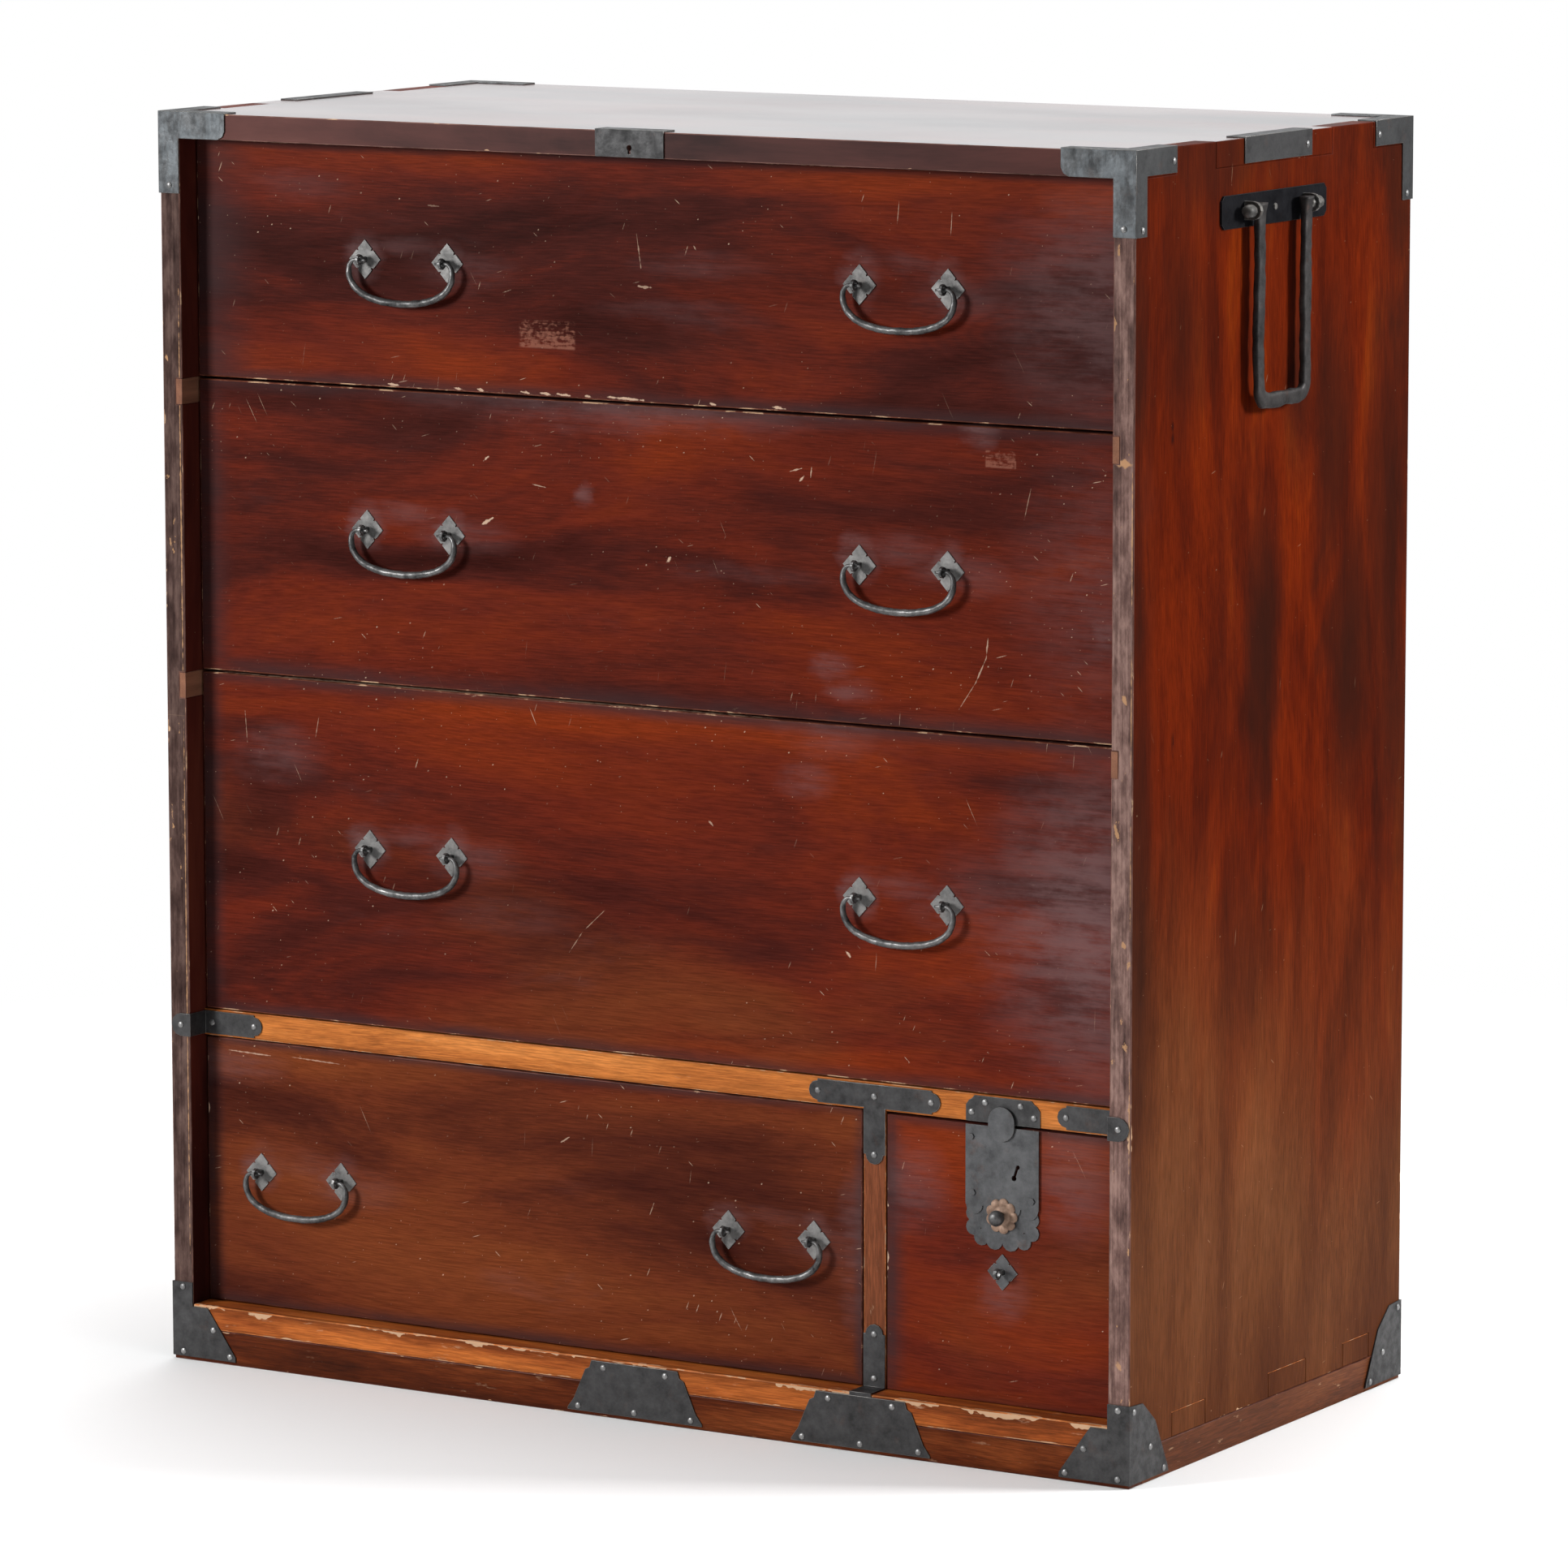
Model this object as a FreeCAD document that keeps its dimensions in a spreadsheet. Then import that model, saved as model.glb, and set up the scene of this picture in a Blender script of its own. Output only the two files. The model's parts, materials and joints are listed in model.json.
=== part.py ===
"""A Japanese clothing chest (isho-dansu) in lacquered cedar with forged iron fittings.

Three full-width drawers stand over a wide drawer and a small compartment whose drop-fit door is locked.
The origin is on the floor under the middle of the chest. X runs to the right, Y to the back and Z up.
"""

import FreeCAD, Part
import math
import os
import re

import Sketcher

V = FreeCAD.Vector

# Driving sizes, in millimetres unless the name says degrees, count or share
SIZES = {
    # Case
    "case_width": 910,
    "case_depth": 460,
    "side_thickness": 19,
    "top_thickness": 21,
    "bottom_thickness": 20,
    "base_height": 28,
    "base_thickness": 20,
    "back_thickness": 8,
    "back_inset": 1,
    "back_rabbet": 8,
    "back_seam": 0.6,
    "back_board_count": 5,
    "face_recess": 22,
    "rail_height": 22,
    "rail_depth": 45,
    "divider_height": 21,
    "post_width": 20,
    "door_opening": 214,
    "panel_thickness": 8,
    "panel_groove": 6,
    "dado_depth": 6,
    "bottom_opening": 225,
    "third_opening": 284,
    "second_opening": 243,
    "top_opening": 197,
    "joint_gap": 0.15,
    "overrun": 5,
    "round_side_count": 12,
    "bearing_degrees": 50,
    # Drawers
    "front_thickness": 20,
    "front_gap": 1,
    "side_gap": 1.5,
    "slide_gap": 0.3,
    "stop_gap": 0.5,
    "tail_gap": 6,
    "box_thickness": 10,
    "box_bottom": 7,
    "box_head_gap": 6,
    "box_rabbet": 8,
    # Bail handles, their backplates and split pins
    "bail_spacing": 80,
    "bail_width": 106,
    "bail_drop": 34,
    "bail_shoulder": 9,
    "bail_tip": 6,
    "bail_end_radius": 1.8,
    "bail_middle_radius": 2.8,
    "bail_station_count": 10,
    "bail_side_count": 6,
    "bail_fullness_share": 0.84,
    "bail_inset_wide": 203,
    "bail_inset_low": 91,
    "bail_shift": 5,
    "bail_rise": 5.5,
    "bail_rise_low": 1.5,
    "diamond_height": 32,
    "diamond_width": 30,
    "plate_thin": 1,
    "eye_radius": 2.7,
    "eye_wall": 1.9,
    "eye_width": 2.6,
    "eye_side_count": 8,
    "eye_standoff": 9,
    "pin_width": 3.6,
    "pin_splay": 5,
    "pin_leg": 1.8,
    "pin_hole_gap": 0.4,
    # Iron sheet fittings
    "iron": 1.2,
    "base_iron_lift": 3,
    "nail_radius": 2.7,
    "nail_height": 1.1,
    "nail_side_count": 6,
    "cap_reach": 65,
    "cap_side_reach": 64,
    "cap_drop": 66,
    "cap_notch": 7,
    "edge_plate_length": 112,
    "edge_plate_fold": 16,
    "top_lock_width": 64,
    "top_keyhole_radius": 2.4,
    "top_keyhole_slot": 5,
    "strap_reach": 58,
    "strap_height": 19,
    "strap_end_radius": 8,
    "tee_width": 121,
    "tee_leg": 44,
    "foot_strap_rise": 52,
    "strike_width": 67,
    "strike_height": 21,
    "strike_cut": 8,
    "strike_step": 3,
    "base_cap_reach": 62,
    "base_cap_rise": 66,
    "base_cap_shoulder": 40,
    "base_cap_heel": 4,
    "base_plate_low": 128,
    "base_plate_high": 82,
    "base_plate_step": 6,
    "base_iron_gap": 2,
    # Carrying-pole handles
    "pole_plate_length": 174,
    "pole_plate_height": 26,
    "pole_plate_thickness": 2,
    "pole_plate_drop": 43,
    "pole_plate_corner": 4,
    "pole_plate_shift": 8,
    "pole_handle_width": 91,
    "pole_handle_length": 163,
    "pole_bar_width": 13,
    "pole_bar_thickness": 5.5,
    "pole_bend": 18,
    "pole_pin_radius": 5.2,
    "pole_pin_reach": 17,
    "pole_pin_gap": 0.5,
    "pole_pivot_standoff": 9.5,
    "pole_eye_wall": 1.6,
    "pole_eye_width": 4,
    "pole_eye_gap": 1.5,
    # Locked door
    "door_thickness": 16,
    "door_gap": 1.7,
    "door_head_gap": 2.2,
    "door_foot_gap": 0.4,
    "peg_width": 14,
    "peg_depth": 5,
    "peg_length": 5,
    "peg_setback": 2.5,
    "peg_inset": 45,
    "peg_slot_gap": 0.6,
    "peg_slot_run": 3,
    "door_edge_radius": 1,
    "lock_width": 66,
    "lock_height": 97,
    "lock_skirt": 33,
    "lock_cusp_radius": 7.5,
    "cover_width": 23.5,
    "cover_height": 27.5,
    "cover_thickness": 1.6,
    "cover_gap": 0.4,
    "keyhole_place": 12,
    "keyhole_drop": 35,
    "keyhole_upper_radius": 1.8,
    "keyhole_lower_radius": 2.3,
    "keyhole_slot": 2.3,
    "keyhole_length": 9,
    "keyhole_slant_degrees": 18,
    "rosette_drop": 71,
    "rosette_radius": 14.5,
    "rosette_petal_radius": 4.2,
    "rosette_petal_count": 9,
    "rosette_thickness": 1.8,
    "rosette_boss_radius": 8,
    "rosette_boss_height": 1.2,
    "knob_radius": 6.5,
    "knob_height": 8,
    "knob_neck_radius": 3.2,
    "knob_neck_length": 3,
    "knob_gap": 0.5,
    "spindle_radius": 2.5,
    "spindle_way": 0.5,
    "cam_radius": 6,
    "cam_thickness": 3,
    "case_lock_width": 60,
    "case_lock_height": 82,
    "case_lock_depth": 13,
    "case_lock_wall": 1.5,
    "bolt_width": 18,
    "bolt_thickness": 5,
    "bolt_throw": 7,
    "bolt_gap": 0.3,
    "door_pull_drop": 116,
    "door_plate_height": 29,
    "door_plate_width": 27,
    # Top drawer lock
    "top_case_width": 54,
    "top_case_depth": 16,
    "top_case_height": 13,
    "top_keyhole_share": 0.6,
    "top_bolt_width": 16,
    "top_bolt_depth": 5,
    "top_bolt_throw": 7,
    # Small compartment behind the door
    "inner_setback": 40,
    "inner_floor_rise": 24,
    "inner_floor_thickness": 8,
    "inner_sill_depth": 30,
    "inner_shelf_thickness": 10,
    "inner_front_thickness": 14,
    "inner_wall": 7,
    "inner_gap": 1,
    "inner_pull_stem": 1.5,
    "inner_pull_knob": 4,
    "inner_pull_reach": 7,
    "inner_pull_hole": 1.8,
}

# Fingers of the case's corner joints, as shares of the depth from the front
TOP_FINGER_SHARES = [(0.14, 0.28), (0.70, 0.855)]
BOTTOM_FINGER_SHARES = [(0.15, 0.27), (0.50, 0.64), (0.78, 0.88)]

# Quarter of a notched diamond, as shares of its half width and half height, from the top point
DIAMOND_SHARES = [(0, 1), (0.44, 0.56), (0.39, 0.42), (0.55, 0.46), (1, 0)]

# Lobes along the foot of the lock plate: middle across, middle down the skirt, and radius across, as shares
SKIRT_SHARES = [(0.80, 0.22, 0.20), (0.80, 0.55, 0.20), (0.58, 0.78, 0.20), (0.22, 0.82, 0.23)]
CUSP_SHARES = [-0.76, -0.28, 0.28, 0.76]

# Profile of the lock's knob, as shares of its height and its radius, from the neck out
KNOB_SHARES = [(0, 0.5), (0.3, 0.9), (0.55, 1), (0.8, 0.86), (1, 0.45)]

# Places of nails, as shares of the plate that they hold
TEE_NAIL_SHARES = [-0.43, 0, 0.43]
STRIKE_NAIL_SHARES = [(-0.42, 0.36), (-0.24, 0.76), (0.24, 0.76), (0.42, 0.36)]
LOCK_NAIL_SHARES = [(-0.84, 0.10), (-0.80, 0.56), (0.82, 0.58)]
BASE_LOW_NAIL_SHARES = [-0.42, 0, 0.42]
BASE_HIGH_NAIL_SHARES = [-0.36, 0.36]

# Places that several pieces share, written in the sizes above
FRONT = "(-case_depth/2)"
BACK = "(case_depth/2)"
RIGHT = "(case_width/2)"
INNER_RIGHT = "(case_width/2 - side_thickness)"
INNER_LEFT = "(-case_width/2 + side_thickness)"
FACE = "(-case_depth/2 + face_recess)"
LEDGE = "(base_height + bottom_thickness)"
RAIL_FOOT = "(base_height + bottom_thickness + bottom_opening)"
RAIL_HEAD = f"({RAIL_FOOT} + rail_height)"
LOWER_LINE = f"({RAIL_HEAD} + third_opening)"
UPPER_LINE = f"({LOWER_LINE} + second_opening)"
HEAD = f"({UPPER_LINE} + top_opening)"
CROWN = f"({HEAD} + top_thickness)"
POST_RIGHT = f"({INNER_RIGHT} - door_opening)"
POST_LEFT = f"({POST_RIGHT} - post_width)"
POST = f"({POST_RIGHT} - post_width/2)"
BACK_PANEL_FACE = f"({BACK} - back_inset - back_thickness)"
DIVIDER_FACE = f"({FACE} + front_thickness + stop_gap)"
DOOR_LEFT = f"({POST_RIGHT} + door_gap)"
DOOR_RIGHT = f"({INNER_RIGHT} - door_gap)"
DOOR_MIDDLE = f"(({POST_RIGHT} + {INNER_RIGHT})/2)"
DOOR_HEAD = f"({RAIL_FOOT} - door_head_gap)"
DOOR_FOOT = f"({LEDGE} + door_foot_gap)"
PEG_PLACES = (f"({POST_RIGHT} + peg_inset)", f"({INNER_RIGHT} - peg_inset)")
DOOR_BACK = f"({FACE} + door_thickness)"
KNOB_Z = f"({DOOR_HEAD} - rosette_drop)"
KEY_X = f"({DOOR_MIDDLE} + keyhole_place)"
KEY_Z = f"({DOOR_HEAD} - keyhole_drop)"
PLATE_FRONT = f"({FACE} - 2*plate_thin)"
BOLT_FACE = f"({DOOR_BACK} + case_lock_wall + bolt_gap)"
TOP_BOLT_FACE = f"({FACE} + stop_gap + (top_case_depth - top_bolt_depth)/2)"
POLE_Z = f"({CROWN} - pole_plate_drop - pole_plate_height/2)"
POLE_X = f"({RIGHT} + pole_pivot_standoff)"
POLE_Y = "(-pole_plate_shift)"

doc = FreeCAD.newDocument("clothing_chest")
sheet = doc.addObject("Spreadsheet::Sheet", "Sizes")
for row, (alias, number) in enumerate(SIZES.items(), start=1):
    sheet.set(f"A{row}", alias)
    sheet.set(f"B{row}", str(number))
    sheet.setAlias(f"B{row}", alias)
doc.recompute()

NODES = []
WORD = re.compile("[a-z_]+")
TURN_Z_TO = {
    "x": FreeCAD.Rotation(V(0, 1, 0), 90),
    "y": FreeCAD.Rotation(V(1, 0, 0), -90),
    "-y": FreeCAD.Rotation(V(1, 0, 0), 90),
    "z": FreeCAD.Rotation(),
    "-z": FreeCAD.Rotation(V(1, 0, 0), 180),
}


def spell(expression):
    """The expression with each size's name as the sheet knows it."""
    return WORD.sub(lambda word: f"Sizes.{word[0]}" if word[0] in SIZES else word[0], str(expression))


def bind(thing, **expressions):
    """Ties properties of a thing to expressions of named sizes."""
    for name, expression in expressions.items():
        thing.setExpression(name, spell(expression))
    return thing


def move(thing, x="0", y="0", z="0"):
    """Puts a thing's own origin at a place."""
    for axis, expression in (("x", x), ("y", y), ("z", z)):
        thing.setExpression(f"Placement.Base.{axis}", spell(expression))
    return thing


def box(name, x, y, z):
    """A box between a low and a high place on each axis."""
    thing = doc.addObject("Part::Box", name)
    spans = {side: f"({high}) - ({low})" for side, (low, high) in zip(("Length", "Width", "Height"), (x, y, z))}
    return move(bind(thing, **spans), x[0], y[0], z[0])


def rod(name, radius, length, axis, x, y, z):
    """A round bar that starts at a place and runs along an axis."""
    thing = doc.addObject("Part::Cylinder", name)
    thing.Placement.Rotation = TURN_Z_TO[axis]
    return move(bind(thing, Radius=radius, Height=length), x, y, z)


def prism(name, sides, radius, length, axis, x, y, z):
    """A bar with flat sides that starts at a place and runs along an axis."""
    thing = doc.addObject("Part::Prism", name)
    thing.Placement.Rotation = TURN_Z_TO[axis]
    return move(bind(thing, Polygon=sides, Circumradius=radius, Height=length), x, y, z)


def bearing(name, radius, length, axis, facing, x, y, z):
    """The side of a round bar that faces one way, for a bar with flat sides that bears there."""
    thing = doc.addObject("Part::Cylinder", name)
    toward = TURN_Z_TO[axis].inverted().multVec(facing)
    start = math.degrees(math.atan2(toward.y, toward.x)) - SIZES["bearing_degrees"] / 2
    thing.Placement.Rotation = TURN_Z_TO[axis].multiply(FreeCAD.Rotation(V(0, 0, 1), start))
    return move(bind(thing, Radius=radius, Height=length, Angle="bearing_degrees"), x, y, z)


def turned(name, sides, profile, axis, x, y, z):
    """A turned piece with flat sides: rings of a radius at distances along an axis, with lofts between."""
    rings = []
    for along, radius in profile:
        ring = doc.addObject("Part::RegularPolygon", f"{name}_ring")
        ring.Placement.Rotation = TURN_Z_TO[axis]
        bind(ring, Polygon=sides, Circumradius=radius)
        rings.append(move(ring, x, f"{y} {'-' if axis == '-y' else '+'} {along}", z))
    thing = doc.addObject("Part::Loft", name)
    thing.Sections = rings
    thing.Solid = True
    thing.Ruled = True
    return thing


def joined(name, parts):
    """One solid made of parts that overlap or touch."""
    if len(parts) == 1:
        return parts[0]
    thing = doc.addObject("Part::MultiFuse", name)
    thing.Shapes = parts
    return thing


def cut(name, base, tools):
    thing = doc.addObject("Part::Cut", name)
    thing.Base = base
    thing.Tool = joined(f"{name}_tools", tools)
    return thing


def group(name, parts):
    """Separate solids that share one node."""
    thing = doc.addObject("Part::Compound", name)
    thing.Links = parts
    return thing


def mirrored(name, thing, normal):
    """A mirror image about the plane through the origin with that normal."""
    image = doc.addObject("Part::Mirroring", name)
    image.Source = thing
    image.Normal = normal
    return image


def node(name, thing):
    """Makes a thing a sub-part, with the name that its file takes."""
    thing.Label = name
    NODES.append(thing)
    return thing


def outline_sketch(body, plane, points, name):
    """A closed outline on one of the body's own planes, each corner tied to a pair of expressions."""
    sketch = body.newObject("Sketcher::SketchObject", name)
    base = [feature for feature in body.Origin.OriginFeatures if feature.Role == plane][0]
    sketch.AttachmentSupport = [(base, "")]
    sketch.MapMode = "FlatFace"
    count = len(points)
    start = [V(math.cos(math.tau * k / count), math.sin(math.tau * k / count), 0) for k in range(count)]
    for k in range(count):
        sketch.addGeometry(Part.LineSegment(start[k], start[(k + 1) % count]))
    for k in range(count):
        sketch.addConstraint(Sketcher.Constraint("Coincident", k, 2, (k + 1) % count, 1))
    for k, point in enumerate(points):
        for kind, tag, expression, place in (
            ("DistanceX", "across", point[0], start[k].x),
            ("DistanceY", "along", point[1], start[k].y),
        ):
            index = sketch.addConstraint(Sketcher.Constraint(kind, -1, 1, k, 1, place))
            sketch.renameConstraint(index, f"{tag}{k}")
            sketch.setExpression(f"Constraints.{tag}{k}", spell(expression))
    return sketch


def sheet_plate(name, plane, points, thickness, x="0", y="0", z="0"):
    """A flat plate of sheet: an outline on a plane, padded outwards, with its origin at a place."""
    body = doc.addObject("PartDesign::Body", name)
    sketch = outline_sketch(body, plane, points, f"{name}_outline")
    pad = body.newObject("PartDesign::Pad", f"{name}_pad")
    pad.Profile = sketch
    bind(pad, Length=thickness)
    return move(body, x, y, z)


def nail(name, axis, x, y, z):
    """The hammered head of a nail on a surface, with the axis pointing out."""
    return prism(name, "nail_side_count", "nail_radius", "nail_height", axis, x, y, z)


def mirror_outline(points):
    """The outline of half a shape, from top to bottom, with its mirror image about the vertical."""
    return points + [(f"-({across})", along) for across, along in reversed(points)]


# Case boards
def top_board():
    board = box("top_blank", (f"-{RIGHT}", RIGHT), (FRONT, BACK), (HEAD, CROWN))
    notches = []
    for low, high in TOP_FINGER_SHARES:
        for x in ((f"-{RIGHT} - overrun", INNER_LEFT), (INNER_RIGHT, f"{RIGHT} + overrun")):
            y = (f"{FRONT} + {low}*case_depth", f"{FRONT} + {high}*case_depth")
            notches.append(box("top_notch", x, y, (f"{HEAD} - overrun", f"{CROWN} + overrun")))
    case = box(
        "top_case_mortise",
        ("-top_case_width/2", "top_case_width/2"),
        (f"{FACE} + stop_gap", f"{FACE} + stop_gap + top_case_depth"),
        (f"{HEAD} - overrun", f"{HEAD} + top_case_height"),
    )
    keyway = prism(
        "top_keyway", "eye_side_count", "top_keyhole_radius", "face_recess + 2*overrun", "y",
        "0", f"{FRONT} - overrun", f"{HEAD} + top_case_height*top_keyhole_share",
    )
    rabbet = box(
        "top_rabbet",
        (f"{INNER_LEFT} - back_rabbet", f"{INNER_RIGHT} + back_rabbet"),
        (BACK_PANEL_FACE, f"{BACK} + overrun"),
        (f"{HEAD} - overrun", f"{HEAD} + back_rabbet"),
    )
    node("top_board", cut("top_board", board, notches + [case, keyway, rabbet]))


def dado(name, z, y):
    """The groove that a divider of that span of heights takes in the right side's inner face."""
    return box(name, (f"{INNER_RIGHT} - overrun", f"{INNER_RIGHT} + dado_depth"), y, z)


def side_boards():
    board = box("side_blank", (INNER_RIGHT, RIGHT), (FRONT, BACK), ("base_height", CROWN))
    tools = []
    spans = [0] + [share for pair in TOP_FINGER_SHARES for share in pair] + [1]
    for low, high in zip(spans[0::2], spans[1::2]):
        start = f"{FRONT} + {low}*case_depth - joint_gap" if low else f"{FRONT} - overrun"
        end = f"{FRONT} + {high}*case_depth + joint_gap" if high < 1 else f"{BACK} + overrun"
        x = (f"{INNER_RIGHT} - overrun", f"{RIGHT} + overrun")
        tools.append(box("side_notch", x, (start, end), (HEAD, f"{CROWN} + overrun")))
    for low, high in BOTTOM_FINGER_SHARES:
        y = (f"{FRONT} + {low}*case_depth", f"{FRONT} + {high}*case_depth")
        x = (f"{INNER_RIGHT} - overrun", f"{RIGHT} + overrun")
        tools.append(box("side_foot_notch", x, y, ("base_height - overrun", LEDGE)))
    tools.append(dado("rail_dado", (RAIL_FOOT, RAIL_HEAD), (FACE, f"{FACE} + rail_depth")))
    divider_y = (f"{FRONT} - overrun", f"{DIVIDER_FACE} + rail_depth")
    for line in (LOWER_LINE, UPPER_LINE):
        tools.append(dado("divider_dado", (f"{line} - divider_height", line), divider_y))
    for line in (RAIL_HEAD, LOWER_LINE, UPPER_LINE):
        tools.append(dado("panel_dado", (f"{line} - panel_thickness", line), (FACE, BACK_PANEL_FACE)))
    tools.append(
        box("side_rabbet", (f"{INNER_RIGHT} - overrun", f"{INNER_RIGHT} + back_rabbet"),
            (BACK_PANEL_FACE, f"{BACK} + overrun"), (LEDGE, f"{HEAD} + overrun"))
    )
    right = node("right_side", cut("right_side", board, tools))
    node("left_side", mirrored("left_side", right, V(1, 0, 0)))


def bottom_board():
    blank = box("bottom_blank", (INNER_LEFT, INNER_RIGHT), (FRONT, BACK), ("base_height", LEDGE))
    fingers = []
    for low, high in BOTTOM_FINGER_SHARES:
        y = (f"{FRONT} + {low}*case_depth + joint_gap", f"{FRONT} + {high}*case_depth - joint_gap")
        fingers.append(box("bottom_finger", (f"-{RIGHT}", RIGHT), y, ("base_height", LEDGE)))
    slots = []
    for x in PEG_PLACES:
        slots.append(
            box("peg_slot",
                (f"{x} - peg_width/2 - peg_slot_gap", f"{x} + peg_width/2 + peg_slot_gap"),
                (f"{FACE} + peg_setback - peg_slot_gap", f"{FACE} + peg_setback + peg_depth + peg_slot_run"),
                (f"{LEDGE} - peg_length - peg_slot_gap", f"{LEDGE} + overrun"))
        )
    board = joined("bottom_whole", [blank] + fingers)
    node("bottom_board", cut("bottom_board", board, slots))


def base():
    across = (f"-{RIGHT}", RIGHT)
    node("base_front", box("base_front", across, (FRONT, f"{FRONT} + base_thickness"), ("0", "base_height")))
    back = box("base_back", across, (f"{BACK} - base_thickness", BACK), ("0", "base_height"))
    along = (f"{FRONT} + base_thickness", f"{BACK} - base_thickness")
    right = box("runner_right", (INNER_RIGHT, RIGHT), along, ("0", "base_height"))
    left = box("runner_left", (f"-{RIGHT}", INNER_LEFT), along, ("0", "base_height"))
    node("base_runners", group("base_runners", [back, right, left]))


def back_panel():
    """Upright boards in the rabbets of the sides, resting on the bottom board and let into the top."""
    count = SIZES["back_board_count"]
    width = "(case_width - 2*side_thickness + 2*back_rabbet)/back_board_count"
    start = f"({INNER_LEFT} - back_rabbet)"
    boards = []
    for k in range(count):
        low = f"{start} + {k}*{width} + back_seam/2"
        high = f"{start} + {k + 1}*{width} - back_seam/2"
        y = (BACK_PANEL_FACE, f"{BACK} - back_inset")
        boards.append(box("back_board", (low, high), y, (LEDGE, f"{HEAD} + back_rabbet - joint_gap")))
    node("back_panel", group("back_panel", boards))


def rails_and_dividers():
    across = (f"{INNER_LEFT} - dado_depth + joint_gap", f"{INNER_RIGHT} + dado_depth - joint_gap")
    rail = box("rail_blank", across, (FACE, f"{FACE} + rail_depth"), (RAIL_FOOT, RAIL_HEAD))
    mortise = box(
        "bolt_mortise",
        (f"{DOOR_MIDDLE} - bolt_width/2 - bolt_gap", f"{DOOR_MIDDLE} + bolt_width/2 + bolt_gap"),
        (f"{BOLT_FACE} - bolt_gap", f"{BOLT_FACE} + bolt_thickness + bolt_gap"),
        (f"{RAIL_FOOT} - overrun", f"{RAIL_FOOT} + bolt_throw + 2*bolt_gap"),
    )
    groove = panel_groove("rail_groove", RAIL_HEAD, f"{FACE} + rail_depth")
    node("middle_rail", cut("middle_rail", rail, [mortise, groove]))
    dividers = []
    for line in (LOWER_LINE, UPPER_LINE):
        y = (DIVIDER_FACE, f"{DIVIDER_FACE} + rail_depth")
        blank = box("divider_blank", across, y, (f"{line} - divider_height", line))
        dividers.append(cut("divider", blank, [panel_groove("divider_groove", line, y[1])]))
    node("dividers", group("dividers", dividers))
    panels = []
    for line, rear in ((RAIL_HEAD, f"{FACE} + rail_depth"),
                       (LOWER_LINE, f"{DIVIDER_FACE} + rail_depth"),
                       (UPPER_LINE, f"{DIVIDER_FACE} + rail_depth")):
        y = (f"{rear} - panel_groove + joint_gap", f"{BACK_PANEL_FACE} - joint_gap")
        panels.append(box("dust_panel", across, y, (f"{line} - panel_thickness", line)))
    node("dust_panels", group("dust_panels", panels))
    plugs = []
    for line in (LOWER_LINE, UPPER_LINE):
        y = (FRONT, f"{DIVIDER_FACE} - joint_gap")
        plug = box("plug", (INNER_RIGHT, f"{INNER_RIGHT} + dado_depth"), y, (f"{line} - divider_height", line))
        plugs += [plug, mirrored("plug_left", plug, V(1, 0, 0))]
    node("dado_plugs", group("dado_plugs", plugs))


def panel_groove(name, line, rear):
    """The rabbet along a rail's rear edge that a dust panel's front edge lies in."""
    return box(
        name,
        (f"-{RIGHT}", RIGHT),
        (f"{rear} - panel_groove", f"{rear} + overrun"),
        (f"{line} - panel_thickness", f"{line} + overrun"),
    )


def post_and_partition():
    x = (POST_LEFT, POST_RIGHT)
    node("divider_post", box("divider_post", x, (FACE, f"{FACE} + rail_depth"), (LEDGE, RAIL_FOOT)))
    y = (f"{FACE} + rail_depth", f"{BACK_PANEL_FACE} - joint_gap")
    node("partition", box("partition", x, y, (LEDGE, f"{RAIL_HEAD} - panel_thickness")))


# Drawers
def drawer_box(name, x, front_back, tail, foot, head, wall, bottom):
    """Sides, back and bottom of a drawer behind its front, as separate boards."""
    low, high = x
    floor = f"{foot} + {bottom}"
    rear = (f"{tail} - {wall}", tail)
    return [
        box(f"{name}_left", (low, f"{low} + {wall}"), (front_back, tail), (floor, head)),
        box(f"{name}_right", (f"{high} - {wall}", high), (front_back, tail), (floor, head)),
        box(f"{name}_back", (f"{low} + {wall}", f"{high} - {wall}"), rear, (floor, head)),
        box(f"{name}_bottom", x, (front_back, tail), (foot, floor)),
    ]


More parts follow.
